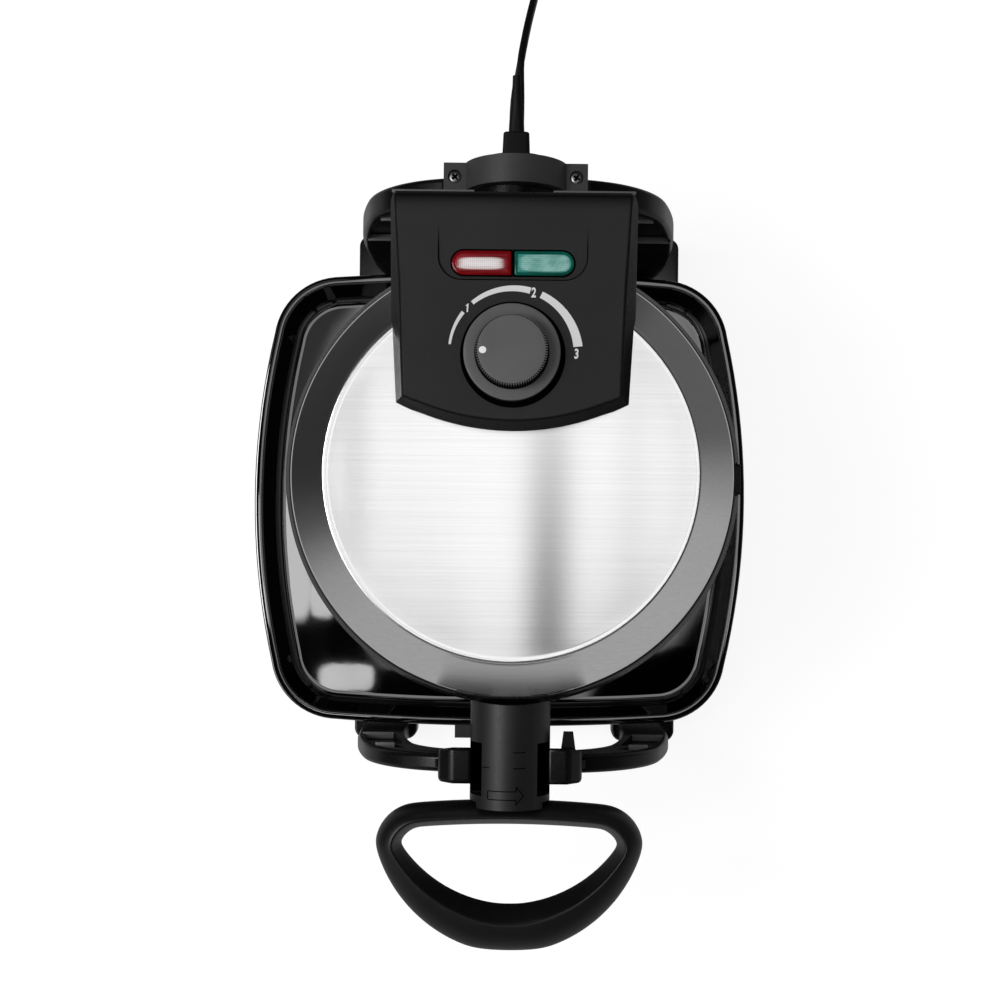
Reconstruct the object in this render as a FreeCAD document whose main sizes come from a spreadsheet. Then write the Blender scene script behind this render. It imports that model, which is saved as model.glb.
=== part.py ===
import FreeCAD, Part
import math
import os
import Sketcher

# A rotating waffle maker: a round two-plate head that turns over in a two-arch stand above a drip tray.
# The origin lies on the counter under the middle of the head; -Y is the handle side, +Y the cord side.
# Sizes are in millimetres.

Vec = FreeCAD.Vector
doc = FreeCAD.newDocument("rotating_waffle_maker")
sheet = doc.addObject("Spreadsheet::Sheet", "sizes")

driving_sizes = [
    # the head, measured outward from the parting plane between its halves
    ("axis_height", 150), ("parting_gap", 0.4),
    ("bezel_radius", 102), ("bezel_height", 16), ("bezel_wall", 8.5), ("bezel_bevel", 2.5),
    ("bezel_bevel_tall", 4),
    ("cover_inset", 3), ("cover_lip", 6), ("cover_rise", 18), ("cover_slope", 17.8),
    ("cover_sheet", 0.8), ("cover_bead", 0.5),
    ("plate_inset", 12), ("plate_wall", 4), ("plate_floor", 14), ("plate_thick", 4),
    ("plate_flange", 3.2), ("plate_flange_from", 4), ("plate_flange_thick", 3),
    ("stud_height", 9), ("stud_margin", 12.8), ("stud_pitch", 17), ("rib_root", 6), ("rib_mouth", 9),
    ("element_inset", 28), ("element_radius", 3.3),
    ("shield_sheet", 0.8), ("shield_step", 6), ("shield_rise", 10.2), ("shield_inset", 6),
    ("button_width", 14), ("button_tall", 6), ("button_from", 8.5), ("button_proud", 0.2),
    ("button_travel", 2.5), ("button_round", 1.2),
    # fits
    ("seat_gap", 0.05), ("run_gap", 0.3),
    # neck and handle
    ("neck_radius", 18.3), ("neck_front", 147), ("neck_waist", 12.5), ("waist_from", 119.5),
    ("waist_to", 143.4), ("brow_reach", 2.2), ("brow_height", 10.5),
    ("tab_reach", 7.2), ("tab_from", 113), ("tab_long", 6), ("tab_tall", 5.5),
    ("grip_half_width", 61.5), ("grip_rear", 147.2), ("grip_front", 215.9), ("grip_widest", 167.5),
    ("grip_half_height", 12.5), ("grip_side", 11.6), ("grip_bar", 10.8), ("grip_palm", 21),
    ("grip_corner", 17.5), ("grip_palm_half", 15), ("grip_sweep", 66.8), ("grip_crown", 1.8),
    ("grip_blunt", 0.6), ("hole_corner", 10), ("hole_palm_half", 14), ("hole_sweep", 96),
    ("ridge_half", 1.35), ("ridge_corner", 14.3), ("ridge_sweep", 73),
    # stand
    ("foot_height", 2), ("foot_radius", 8), ("rail_height", 12), ("rail_inner", 54), ("rail_outer", 88.7),
    ("rail_corner", 6),
    ("arch_front", 128.7), ("arch_front_deep", 8.6), ("arch_behind", 8), ("arch_rear_deep", 12.5),
    ("leg_outer", 83), ("leg_width", 25), ("leg_straight", 30), ("crown_drop", 15), ("crown_deep", 19),
    ("arch_bow", 240), ("shoulder_bow", 55), ("arch_round", 2.5),
    ("recess_deep", 3), ("recess_low", 44), ("recess_tall", 40), ("recess_rib", 5), ("recess_short", 10),
    ("cradle_half", 33), ("cradle_rear", 122), ("cradle_deep", 17), ("cradle_lip", 8), ("cradle_bevel", 6),
    ("finger_inner", 23.3), ("finger_outer", 30), ("finger_rear", 115.4), ("finger_tall", 10),
    # rear bearing and hinge
    ("journal_radius", 14), ("barrel_radius", 24), ("ear_half", 32.7), ("ear_height", 8),
    ("ear_screw_x", 27.6), ("screw_head", 3), ("screw_shank", 1.7), ("screw_head_tall", 2.4),
    ("screw_long", 18), ("screw_sunk", 0.6), ("saddle_taper", 4), ("flange_radius", 20),
    ("yoke_half", 33), ("yoke_behind", 20),
    ("hinge_behind", 4), ("hinge_up", 36), ("pin_radius", 2.5), ("pin_half", 36),
    ("arm_inner", 22), ("arm_outer", 30), ("arm_half_deep", 4.5), ("bay_half", 31),
    ("bay_deep", 17), ("bay_wall", 3), ("bay_web", 2), ("bay_above", 13.5), ("slot_above", 7.5), ("slot_side", 1),
    ("gland_width", 12.6), ("gland_end", 156.8), ("gland_flange", 2.5), ("gland_flange_radius", 17),
    # control housing, measured from the head's middle and the parting plane
    ("panel_behind", 12), ("panel_rear_half", 52), ("panel_front_half", 49.9), ("panel_corner", 29.9),
    ("panel_bow", 108.4), ("panel_top_rear_half", 49.2), ("panel_top_front_half", 44.7),
    ("panel_top_corner", 30.6), ("panel_top_bow", 104.9), ("panel_top", 61), ("panel_base", 36),
    ("panel_skirt", 6), ("panel_roof", 4), ("panel_rear_round", 11), ("panel_edge_round", 1.6),
    ("cavity_front", 37.9),
    ("inset_half", 31), ("inset_front", 79), ("inset_back", 15), ("inset_deep", 0.8), ("inset_corner", 9.5),
    ("lens_half", 25.5), ("lens_wide", 10.4), ("lens_back", 86), ("lens_split", 1.2), ("lens_tall", 5.4),
    ("lens_proud", 1), ("lens_round", 0.8), ("lamp_radius", 2.6), ("lamp_shelf", 4), ("lamp_shelf_half", 4),
    ("dial_back", 48.7), ("dial_skirt", 20.2), ("dial_skirt_tall", 4), ("dial_grip", 15.4),
    ("dial_grip_tall", 7.5), ("dial_well", 21.3), ("dial_well_deep", 1), ("dial_flute", 0.55), ("dial_flute_wide", 0.9),
    ("dial_bevel", 1.3), ("dial_foot", 0.6), ("spot_radius", 1.3), ("spot_in", 3.6), ("spot_deep", 0.6),
    ("shaft_radius", 3), ("thermostat_radius", 12), ("thermostat_tall", 11),
    # drip tray
    ("tray_half_width", 132.4), ("tray_half_length", 121.6), ("tray_forward", 3.7), ("tray_left", 9),
    ("tray_rim", 36), ("tray_wall", 1.6), ("tray_lip", 4), ("tray_lip_tall", 2.4), ("tray_slope", 9),
    ("tray_side_bow", 400), ("tray_end_bow", 1300), ("tray_corner", 36), ("tray_side_half", 89),
    ("tray_end_half", 90),
    # cord
    ("cord_thick", 7), ("coil_outer", 46), ("coil_pitch", 9), ("coil_layer", 7.8), ("coil_back", 365),
    ("coil_side", -36), ("coil_tail", 30), ("plug_long", 30), ("plug_wide", 25), ("plug_tall", 22.6),
    ("plug_neck", 5), ("blade_long", 17), ("blade_wide", 6.3), ("blade_thick", 1.5), ("blade_apart", 12.7),
]


class Length:
    """A number that keeps its sheet formula, so that sketches and solids can be bound to it."""

    def __init__(self, number, formula):
        self.number = number
        self.formula = formula

    def __add__(self, other):
        other = length(other)
        return Length(self.number + other.number, f"({self.formula} + {other.formula})")

    def __sub__(self, other):
        other = length(other)
        return Length(self.number - other.number, f"({self.formula} - {other.formula})")

    def __mul__(self, other):
        other = length(other)
        return Length(self.number * other.number, f"({self.formula} * {other.formula})")

    def __truediv__(self, other):
        other = length(other)
        return Length(self.number / other.number, f"({self.formula} / {other.formula})")

    def __neg__(self):
        return Length(-self.number, f"(0 - {self.formula})")

    def __radd__(self, other):
        return length(other) + self

    def __rsub__(self, other):
        return length(other) - self


def length(value):
    return value if isinstance(value, Length) else Length(float(value), f"({value})")


def root(value):
    return Length(math.sqrt(value.number), f"sqrt({value.formula})")


class Sizes:
    """The driving sizes by name."""


d = Sizes()
for row, (alias, number) in enumerate(driving_sizes, start=1):
    sheet.set(f"A{row}", alias)
    sheet.set(f"B{row}", str(number))
    sheet.setAlias(f"B{row}", alias)
    setattr(d, alias, Length(float(number), f"sizes.{alias}"))
doc.recompute()

# sizes that follow from the head's
d.plate_radius = d.bezel_radius - d.plate_inset
d.stud_field = d.plate_radius - d.stud_margin
d.element_loop = d.plate_radius - d.element_inset
d.shield_flat = d.plate_radius - d.shield_inset
d.cover_radius = d.bezel_radius - d.cover_inset
d.cover_flat = d.cover_radius - d.cover_slope
d.hinge_back = d.bezel_radius + d.hinge_behind
d.panel_rear = d.hinge_back + d.panel_behind
d.yoke_rear = d.bezel_radius + d.yoke_behind
d.arch_rear = d.yoke_rear + d.arch_behind
d.crown_height = d.axis_height - d.crown_drop

# what several pieces share
half_gap = d.parting_gap / 2
rail_top = d.foot_height + d.rail_height
cover_top = d.bezel_height + d.cover_lip + d.cover_rise
cover_knee = d.bezel_height + d.cover_lip
ledge_bore = d.plate_radius + d.run_gap
ledge_from = d.plate_flange_from + d.plate_flange_thick
hinge_z = d.axis_height + d.hinge_up
roof_under = d.panel_top - d.panel_roof
well_floor = d.panel_top - d.dial_well_deep
cradle_bore = d.neck_radius + d.run_gap
journal_bore = d.journal_radius + d.seat_gap
pin_bore = d.pin_radius + d.seat_gap
bezel_seat = d.bezel_radius + d.seat_gap
lens_top = d.panel_top - d.inset_deep + d.lens_proud

pieces = {}


def keep(name, thing):
    thing.Label = name
    pieces[name] = thing
    return thing


def bind(thing, path, value):
    thing.setExpression(path, length(value).formula)


def place(thing, x=0, y=0, z=0, turn=None):
    if turn:
        thing.Placement = FreeCAD.Placement(Vec(), FreeCAD.Rotation(*turn))
    for letter, value in zip("xyz", (x, y, z)):
        bind(thing, f"Placement.Base.{letter}", value)
    return thing


# Part primitives and booleans

def block(name, x_from, x_to, y_from, y_to, z_from, z_to):
    thing = doc.addObject("Part::Box", name)
    for path, low, high in (("Length", x_from, x_to), ("Width", y_from, y_to), ("Height", z_from, z_to)):
        bind(thing, path, length(high) - low)
    return place(thing, x_from, y_from, z_from)


def rod(name, radius, tall, x=0, y=0, z=0, turn=None):
    thing = doc.addObject("Part::Cylinder", name)
    bind(thing, "Radius", radius)
    bind(thing, "Height", tall)
    return place(thing, x, y, z, turn)


along_y = (Vec(1, 0, 0), -90)
along_x = (Vec(0, 1, 0), 90)


def cut(name, base, *tools):
    for number, tool in enumerate(tools, start=1):
        step = doc.addObject("Part::Cut", f"{name}_cut_{number}")
        step.Base, step.Tool = base, tool
        base = step
    return base


def fuse(name, *things):
    thing = doc.addObject("Part::MultiFuse", f"{name}_fuse")
    thing.Shapes = list(things)
    thing.Refine = True
    return thing


# PartDesign bodies and their sketches

def new_body(name):
    return keep(name, doc.addObject("PartDesign::Body", name))


def new_sketch(body, name, role, offset=0):
    sketch = body.newObject("Sketcher::SketchObject", f"{body.Name}_{name}")
    plane = [part for part in body.Origin.OriginFeatures if part.Role == role][0]
    sketch.AttachmentSupport = [(plane, "")]
    sketch.MapMode = "FlatFace"
    bind(sketch, "AttachmentOffset.Base.z", offset)
    return sketch


def pin_vertex(sketch, geometry, end, x, y):
    for kind, value in (("DistanceX", length(x)), ("DistanceY", length(y))):
        number = sketch.addConstraint(Sketcher.Constraint(kind, -1, 1, geometry, end, value.number))
        sketch.setExpression(f"Constraints[{number}]", value.formula)


def outline(sketch, points):
    """Close a ring of lines and arcs. A third value bows the next side, negative for a clockwise arc."""
    ends = []
    for index, point in enumerate(points):
        following = points[(index + 1) % len(points)]
        start = Vec(length(point[0]).number, length(point[1]).number, 0)
        stop = Vec(length(following[0]).number, length(following[1]).number, 0)
        if len(point) < 3:
            number = sketch.addGeometry(Part.LineSegment(start, stop))
            ends.append((number, 1, 2))
            continue
        bow = length(point[2])
        clockwise = bow.number < 0
        radius = abs(bow.number)
        chord = stop - start
        left = Vec(-chord.y, chord.x, 0).normalize()
        reach = math.sqrt(max(radius ** 2 - (chord.Length / 2) ** 2, 0))
        centre = (start + stop) / 2 + left * (-reach if clockwise else reach)
        first, last = (stop, start) if clockwise else (start, stop)
        angles = [math.atan2(spot.y - centre.y, spot.x - centre.x) for spot in (first, last)]
        circle = Part.Circle(centre, Vec(0, 0, 1), radius)
        number = sketch.addGeometry(Part.ArcOfCircle(circle, angles[0], angles[1]))
        ends.append((number, 2, 1) if clockwise else (number, 1, 2))
        limit = sketch.addConstraint(Sketcher.Constraint("Radius", number, radius))
        sketch.setExpression(f"Constraints[{limit}]", (-bow if clockwise else bow).formula)
    for index, (number, start_end, stop_end) in enumerate(ends):
        after, after_end, _ = ends[(index + 1) % len(ends)]
        sketch.addConstraint(Sketcher.Constraint("Coincident", number, stop_end, after, after_end))
        pin_vertex(sketch, number, start_end, points[index][0], points[index][1])
    return sketch


def ring(sketch, x, y, radius):
    number = sketch.addGeometry(Part.Circle(Vec(length(x).number, length(y).number, 0), Vec(0, 0, 1),
                                            length(radius).number))
    pin_vertex(sketch, number, 3, x, y)
    limit = sketch.addConstraint(Sketcher.Constraint("Radius", number, length(radius).number))
    sketch.setExpression(f"Constraints[{limit}]", length(radius).formula)
    return sketch


def mirrored(points, closing=None):
    """Points on the right, counter-clockwise, then their mirror images; closing bows the last side."""
    left = []
    for index in range(len(points) - 1, -1, -1):
        before = points[index - 1] if index else ()
        bow = (before[2],) if len(before) == 3 else ()
        left.append((-length(points[index][0]), points[index][1]) + bow)
    if closing:
        left[-1] += (closing,)
    return list(points) + left


def turned_back(points):
    """An open run of points taken the other way round, with its arcs turned about."""
    back = []
    for index in range(len(points) - 1, -1, -1):
        before = points[index - 1] if index else ()
        bow = (-length(before[2]),) if len(before) == 3 else ()
        back.append((points[index][0], points[index][1]) + bow)
    return back


def pad(body, sketch, tall, name="pad", back=False):
    feature = body.newObject("PartDesign::Pad", f"{sketch.Name}_{name}")
    feature.Profile = sketch
    feature.Reversed = back
    bind(feature, "Length", tall)
    doc.recompute()
    return feature


def pocket(body, sketch, deep=None, back=False):
    """Cut a sketch into the body, right through without a depth, and see that it took something away."""
    before = body.Shape.Volume
    feature = body.newObject("PartDesign::Pocket", f"{sketch.Name}_pocket")
    feature.Profile = sketch
    feature.Reversed = back
    if deep is None:
        feature.Type = "ThroughAll"
    else:
        bind(feature, "Length", deep)
    doc.recompute()
    if not body.Shape.Volume < before:
        raise ValueError(f"{feature.Name} cut nothing")
    return feature


def revolve(body, sketch):
    feature = body.newObject("PartDesign::Revolution", f"{sketch.Name}_turn")
    feature.Profile = sketch
    feature.ReferenceAxis = (sketch, ["V_Axis"])
    feature.Angle = 360
    doc.recompute()
    return feature


def loft(body, sketches, kind="AdditiveLoft"):
    feature = body.newObject(f"PartDesign::{kind}", f"{sketches[0].Name}_loft")
    feature.Profile = sketches[0]
    feature.Sections = sketches[1:]
    doc.recompute()
    return feature


def repeat(body, feature, sketch, axis, span, count):
    """Copies of a feature in a row along one of its sketch's axes."""
    pattern = body.newObject("PartDesign::LinearPattern", f"{feature.Name}_row")
    pattern.Originals = [feature]
    pattern.Direction = (sketch, [axis])
    bind(pattern, "Length", span)
    pattern.Occurrences = count
    body.Tip = pattern
    doc.recompute()
    return pattern


def round_edges(body, name, radius, wanted, kind="Fillet"):
    """Fillet or chamfer the edges of the body that the test picks out."""
    base = body.Tip
    names = [f"Edge{number}" for number, edge in enumerate(base.Shape.Edges, start=1) if wanted(edge)]
    feature = body.newObject(f"PartDesign::{kind}", f"{body.Name}_{name}")
    feature.Base = (base, names)
    bind(feature, "Radius" if kind == "Fillet" else "Size", radius)
    doc.recompute()
    if "Invalid" in feature.State:
        raise ValueError(f"{feature.Name} failed on {names}")
    return feature


# The two halves of the head are alike, so each piece is drawn from the parting plane outward.
# The lower one is the same piece turned half a turn about the flip axis.

halves = {"upper": None, "lower": (Vec(0, 1, 0), 180)}


def seat_half(half, thing):
    return place(thing, z=d.axis_height, turn=halves[half])


def make_bezel(half):
    body = new_body(f"{half}_bezel")
    profile = new_sketch(body, "profile", "XZ_Plane")
    inner = d.bezel_radius - d.bezel_wall
    outline(profile, [
        (inner, half_gap), (d.bezel_radius, half_gap),
        (d.bezel_radius, d.bezel_height - d.bezel_bevel_tall),
        (d.bezel_radius - d.bezel_bevel, d.bezel_height), (ledge_bore, d.bezel_height),
        (ledge_bore, ledge_from), (inner, ledge_from)])
    revolve(body, profile)
    window = new_sketch(body, "window", "YZ_Plane", d.bezel_radius + d.button_proud)
    low, high = d.button_from - d.run_gap, d.button_from + d.button_tall + d.run_gap
    side = d.button_width / 2 + d.run_gap
    outline(window, [(-side, low), (side, low), (side, high), (-side, high)])
    pocket(body, window, d.bezel_radius - d.plate_radius + d.button_proud)
    return seat_half(half, body)


def make_button(half):
    """The catch that frees a grid plate: a key in the bezel's side that is pushed inward."""
    body = new_body(f"{half}_release_button")
    face = new_sketch(body, "face", "YZ_Plane", ledge_bore + d.button_travel + d.run_gap)
    side = d.button_width / 2
    low, high = d.button_from, d.button_from + d.button_tall
    outline(face, [(-side, low), (side, low), (side, high), (-side, high)])
    pad(body, face, d.bezel_radius + d.button_proud - ledge_bore - d.button_travel - d.run_gap)
    round_edges(body, "soften", d.button_round, lambda edge: edge.BoundBox.XLength > 3)
    return seat_half(half, body)


def make_cover(half, name):
    body = new_body(name)
    profile = new_sketch(body, "profile", "XZ_Plane")
    inner = d.cover_radius - d.cover_sheet
    outline(profile, [
        (inner, d.bezel_height), (d.cover_radius, d.bezel_height), (d.cover_radius, cover_knee),
        (d.cover_flat + d.cover_bead, cover_top - d.cover_bead), (d.cover_flat, cover_top),
        (0, cover_top), (0, cover_top - d.cover_sheet),
        (d.cover_flat - d.cover_bead, cover_top - d.cover_sheet),
        (inner, cover_knee - d.cover_sheet / 2)])
    revolve(body, profile)
    return seat_half(half, body)


def make_plate(half):
    """A grid plate: a shallow flanged pan whose floor carries studs parted by two rows of tapered ribs."""
    back = d.plate_floor + d.plate_thick
    pan = doc.addObject("PartDesign::Body", f"{half}_pan")
    profile = new_sketch(pan, "profile", "XZ_Plane")
    inner = d.plate_radius - d.plate_wall
    flange = d.plate_radius + d.plate_flange
    outline(profile, [
        (0, d.plate_floor), (inner, d.plate_floor), (inner, d.parting_gap), (d.plate_radius, d.parting_gap),
        (d.plate_radius, d.plate_flange_from), (flange, d.plate_flange_from), (flange, ledge_from),
        (d.plate_radius, ledge_from), (d.plate_radius, back), (0, back)])
    revolve(pan, profile)

    studs = doc.addObject("PartDesign::Body", f"{half}_studs")
    tips = d.plate_floor - d.stud_height
    pad(studs, ring(new_sketch(studs, "field", "XY_Plane", tips), 0, 0, d.stud_field),
        d.stud_height + d.plate_thick / 2)
    ribs = 10
    span = d.stud_pitch * (ribs - 1)
    first = -span / 2
    for role in ("XZ_Plane", "YZ_Plane"):
        rib = new_sketch(studs, f"rib_{role[:2].lower()}", role, -d.stud_field)
        outline(rib, [
            (first - d.rib_mouth / 2, tips), (first + d.rib_mouth / 2, tips),
            (first + d.rib_root / 2, d.plate_floor), (first - d.rib_root / 2, d.plate_floor)])
        groove = pocket(studs, rib, d.stud_field * 2, back=True)
        repeat(studs, groove, rib, "H_Axis", span, ribs)
    seat_half(half, pan)
    seat_half(half, studs)
    keep(f"{half}_grid_plate", fuse(f"{half}_grid_plate", pan, studs))


def make_element(half):
    """The tubular heater behind the plate, an open loop."""
    loop = doc.addObject("Part::Torus", f"{half}_heating_element")
    bind(loop, "Radius1", d.element_loop)
    bind(loop, "Radius2", d.element_radius)
    loop.Angle3 = 320
    level = d.plate_floor + d.plate_thick + d.element_radius + d.run_gap
    keep(f"{half}_heating_element", loop)
    loop.Placement = FreeCAD.Placement(Vec(), FreeCAD.Rotation(Vec(0, 0, 1), 110))
    if half == "upper":
        return place(loop, z=d.axis_height + level)
    return place(loop, z=d.axis_height - level)


def make_shield(half):
    """The pressed sheet between the heater and the outer cover, flanged onto the bezel."""
    body = new_body(f"{half}_heat_shield")
    profile = new_sketch(body, "profile", "XZ_Plane")
    foot = d.bezel_height
    wall = d.plate_radius + d.plate_flange - 1
    sheet_thick = d.shield_sheet
    rim = d.cover_radius - d.cover_sheet - d.run_gap * 3
    top = foot + d.shield_rise
    outline(profile, [
        (wall, foot), (rim, foot), (rim, foot + sheet_thick), (wall + sheet_thick, foot + sheet_thick),
        (wall + sheet_thick, foot + d.shield_step), (d.shield_flat, top + sheet_thick),
        (0, top + sheet_thick), (0, top), (d.shield_flat, top), (wall, foot + d.shield_step)])
    revolve(body, profile)
    return seat_half(half, body)


for half in halves:
    make_bezel(half)
    make_button(half)
    make_cover(half, "lid_cover" if half == "upper" else "lower_cover")
    make_plate(half)
    make_element(half)
    make_shield(half)


# Neck: a split journal that the front cradle holds, and the D-shaped handle at its end

def bezel_core(name):
    return rod(name, bezel_seat, d.bezel_height * 4, z=d.axis_height - d.bezel_height * 2)


def make_neck(name, low, high, *more):
    start = d.bezel_radius - d.neck_radius * 0.2
    bar = rod(f"{name}_bar", d.neck_radius, d.neck_front - start, 0, -d.neck_front, d.axis_height, along_y)
    side = d.neck_radius * 2
    spare = block(f"{name}_spare", -side, side, -d.neck_front - side, side - d.bezel_radius, low, high)
    return cut(name, bar, spare, bezel_core(f"{name}_seat"), *more)


def make_upper_neck():
    low = d.axis_height + half_gap
    waist = [block(f"waist_{side}", *span, -d.waist_to, -d.waist_from, d.axis_height, d.axis_height * 2)
             for side, span in (("left", (-d.neck_radius * 2, -d.neck_waist)),
                                ("right", (d.neck_waist, d.neck_radius * 2)))]
    trim = block("upper_neck_trim", -d.neck_radius * 2, d.neck_radius * 2, -d.neck_front * 2,
                 d.run_gap * 2 - d.neck_front, 0, d.axis_height * 2)
    neck = make_neck("upper_neck", d.axis_height - d.neck_radius * 2, low, trim, *waist)
    shell = rod("brow_bar", d.neck_radius, d.brow_reach + d.run_gap * 2, y=-d.neck_front - d.brow_reach,
                z=d.axis_height, turn=along_y)
    under = block("brow_under", -d.neck_radius * 2, d.neck_radius * 2, -d.neck_front * 2, 0,
                  d.axis_height - d.neck_radius * 2, d.axis_height + d.brow_height)
    brow = cut("brow", shell, under)
    keep("upper_neck", fuse("upper_neck", neck, brow))


def make_lower_neck():
    high = d.axis_height - half_gap
    neck = make_neck("lower_neck", high, d.axis_height + d.neck_radius * 2)
    tab = block("stop_tab", -d.neck_radius - d.tab_reach, -d.neck_radius * 0.9, -d.tab_from - d.tab_long,
                -d.tab_from, high - d.tab_tall, high - d.run_gap)
    keep("lower_neck", fuse("lower_neck", neck, tab))


def grip_ring(sketch, half_width, rear, front, corner, palm_half, sweep):
    """A D-shaped outline: bowed rear bar, round corners at its widest, swept sides and a blunt front."""
    corner_x = half_width - corner
    return outline(sketch, mirrored([
        (palm_half, d.grip_blunt - front, sweep), (half_width, -d.grip_widest, corner * 1.12),
        (corner_x, -rear - d.grip_crown, d.grip_half_width * 8)], d.grip_half_width * 2.6))


def make_handle():
    """The D-shaped grip: two lofts that swell from a ridge on each face to the full width at the middle."""
    body = new_body("handle_grip")
    full_outer = (d.grip_half_width, d.grip_rear, d.grip_front,
                  d.grip_corner, d.grip_palm_half, d.grip_sweep)
    full_hole = (d.grip_half_width - d.grip_side, d.grip_rear + d.grip_bar, d.grip_front - d.grip_palm,
                 d.hole_corner, d.hole_palm_half, d.hole_sweep)
    ridge_x = d.grip_half_width - d.grip_side * 0.55
    ridge_rear = d.grip_rear + d.grip_bar * 0.58
    ridge_front = d.grip_front - d.grip_palm * 0.66
    ridge = [(ridge_x + reach, ridge_rear - reach, ridge_front + reach,
              d.ridge_corner, d.hole_palm_half, d.ridge_sweep) for reach in (d.ridge_half, -d.ridge_half)]
    levels = [d.axis_height + d.grip_half_height * step for step in (-1, 0, 1)]
    for name, middle, edge, kind in (("outer", full_outer, ridge[0], "AdditiveLoft"),
                                     ("hole", full_hole, ridge[1], "SubtractiveLoft")):
        loft(body, [grip_ring(new_sketch(body, f"{name}_{number}", "XY_Plane", level), *sizes)
                    for number, (level, sizes) in enumerate(zip(levels, (edge, middle, edge)))], kind)
    stub = new_sketch(body, "stub", "XZ_Plane", d.neck_front + d.seat_gap)
    flat = d.axis_height - half_gap
    outline(stub, [(-d.neck_radius, flat, d.neck_radius), (0, flat - d.neck_radius, d.neck_radius),
                   (d.neck_radius, flat)])
    pad(body, stub, d.grip_bar * 0.45)


make_upper_neck()
make_lower_neck()
make_handle()


# Stand

def arch_side(leg, crown, big, small):
    """One side of an arch: an upright leg, a long bow and a shoulder, each tangent to the next."""
    centre = leg - big
    rise = crown - small - d.leg_straight
    run = root((big - small) * (big - small) - rise * rise)
    share = big / (big - small)
    joint = (centre + run * share, d.leg_straight + rise * share)
    return [(leg, rail_top), (leg, d.leg_straight, big), (*joint, small), (centre + run, crown)]


def arch_points():
    outer = arch_side(d.leg_outer, d.crown_height, d.arch_bow, d.shoulder_bow)
    inner = arch_side(d.leg_outer - d.leg_width, d.crown_height - d.crown_deep, d.arch_bow - d.leg_width,
                      d.shoulder_bow - d.crown_deep)
    return mirrored(outer) + turned_back(mirrored(inner))


def soften_arch(body):
    """Round the bar's long edges, but not those where it stands on its rails."""
    round_edges(body, "soften", d.arch_round, lambda edge: edge.BoundBox.YLength < 0.01
                and edge.BoundBox.ZMax > rail_top.number + 0.01)


def recess_points(low, high, outer, inner, lean):
    """A four-sided recess in a leg that leans inward as the leg does."""
    return [(inner, low), (outer, low), (outer - lean, high), (inner - lean, high)]


def hollow_legs(body, face):
    """Two recesses in the inner face of each leg, parted by a rib."""
    sketch = new_sketch(body, "recesses", "XZ_Plane", face)
    low = rail_top + d.recess_low
    rib = low + d.recess_tall
    above = rib + d.recess_rib
    middle = d.leg_outer - d.leg_width / 2
    half = d.leg_width * 0.34
    tall_lean, short_lean = d.recess_tall * 0.21, d.recess_short * 0.55
    long_one = recess_points(low, rib, middle + half, middle - half, tall_lean)
    short_one = recess_points(above, above + d.recess_short, middle - tall_lean + half * 0.6,
                              middle - tall_lean - half * 0.6, short_lean)
    for points in (long_one, short_one):
        outline(sketch, points)
        outline(sketch, [(-x, z) for x, z in points])
    return sketch


def make_front_arch():
    body = new_body("front_arch")
    pad(body, outline(new_sketch(body, "bar", "XZ_Plane", d.arch_front), arch_points()), d.arch_front_deep)
    soften_arch(body)
    pocket(body, hollow_legs(body, d.arch_front), d.recess_deep, back=True)
    lip = d.axis_height + d.cradle_lip
    under = d.crown_height - d.crown_deep
    cradle = new_sketch(body, "cradle", "XZ_Plane", d.cradle_rear)
    outline(cradle, mirrored([
        (d.cradle_half - d.cradle_bevel * 2, under), (d.cradle_half, under + d.cradle_bevel * 2),
        (d.cradle_half, lip - d.cradle_bevel), (d.cradle_half - d.cradle_bevel, lip)]))
    pad(body, cradle, d.cradle_deep)
    bore = new_sketch(body, "bore", "XZ_Plane", d.finger_rear)
    ring(bore, 0, d.axis_height, cradle_bore)
    pocket(body, bore, back=True)
    top = d.axis_height + d.run_gap
    finger = new_sketch(body, "finger", "XZ_Plane", d.finger_rear)
    outline(finger, [
        (d.finger_inner, top - d.finger_tall), (d.finger_outer, top - d.finger_tall),
        (d.finger_outer, top), (d.finger_inner, top)])
    pad(body, finger, d.cradle_rear - d.finger_rear)


def ear_screw_holes(body, radius, top, name):
    holes = new_sketch(body, name, "XY_Plane", top)
    for side in (-1, 1):
        ring(holes, d.ear_screw_x * side, d.arch_rear + d.arch_rear_deep / 2, radius)
    return holes


def make_rear_arch():
    body = new_body("rear_arch")
    back = d.arch_rear + d.arch_rear_deep
    pad(body, outline(new_sketch(body, "bar", "XZ_Plane", -back), arch_points()), d.arch_rear_deep)
    soften_arch(body)
    pocket(body, hollow_legs(body, -d.arch_rear), d.recess_deep)
    split = d.axis_height - d.seat_gap
    under = d.crown_height - d.crown_deep
    saddle = new_sketch(body, "saddle", "XZ_Plane", -back)
    outline(saddle, mirrored([
        (d.barrel_radius - d.saddle_taper, under), (d.ear_half, under + d.ear_height * 2),
        (d.ear_half, split)]))
    pad(body, saddle, d.arch_rear_deep)
    bore = new_sketch(body, "bore", "XZ_Plane", -back)
    ring(bore, 0, d.axis_height, journal_bore)
    pocket(body, bore, back=True)
    holes = ear_screw_holes(body, d.screw_shank + d.seat_gap, split, "holes")
    pocket(body, holes, d.screw_long)


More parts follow.
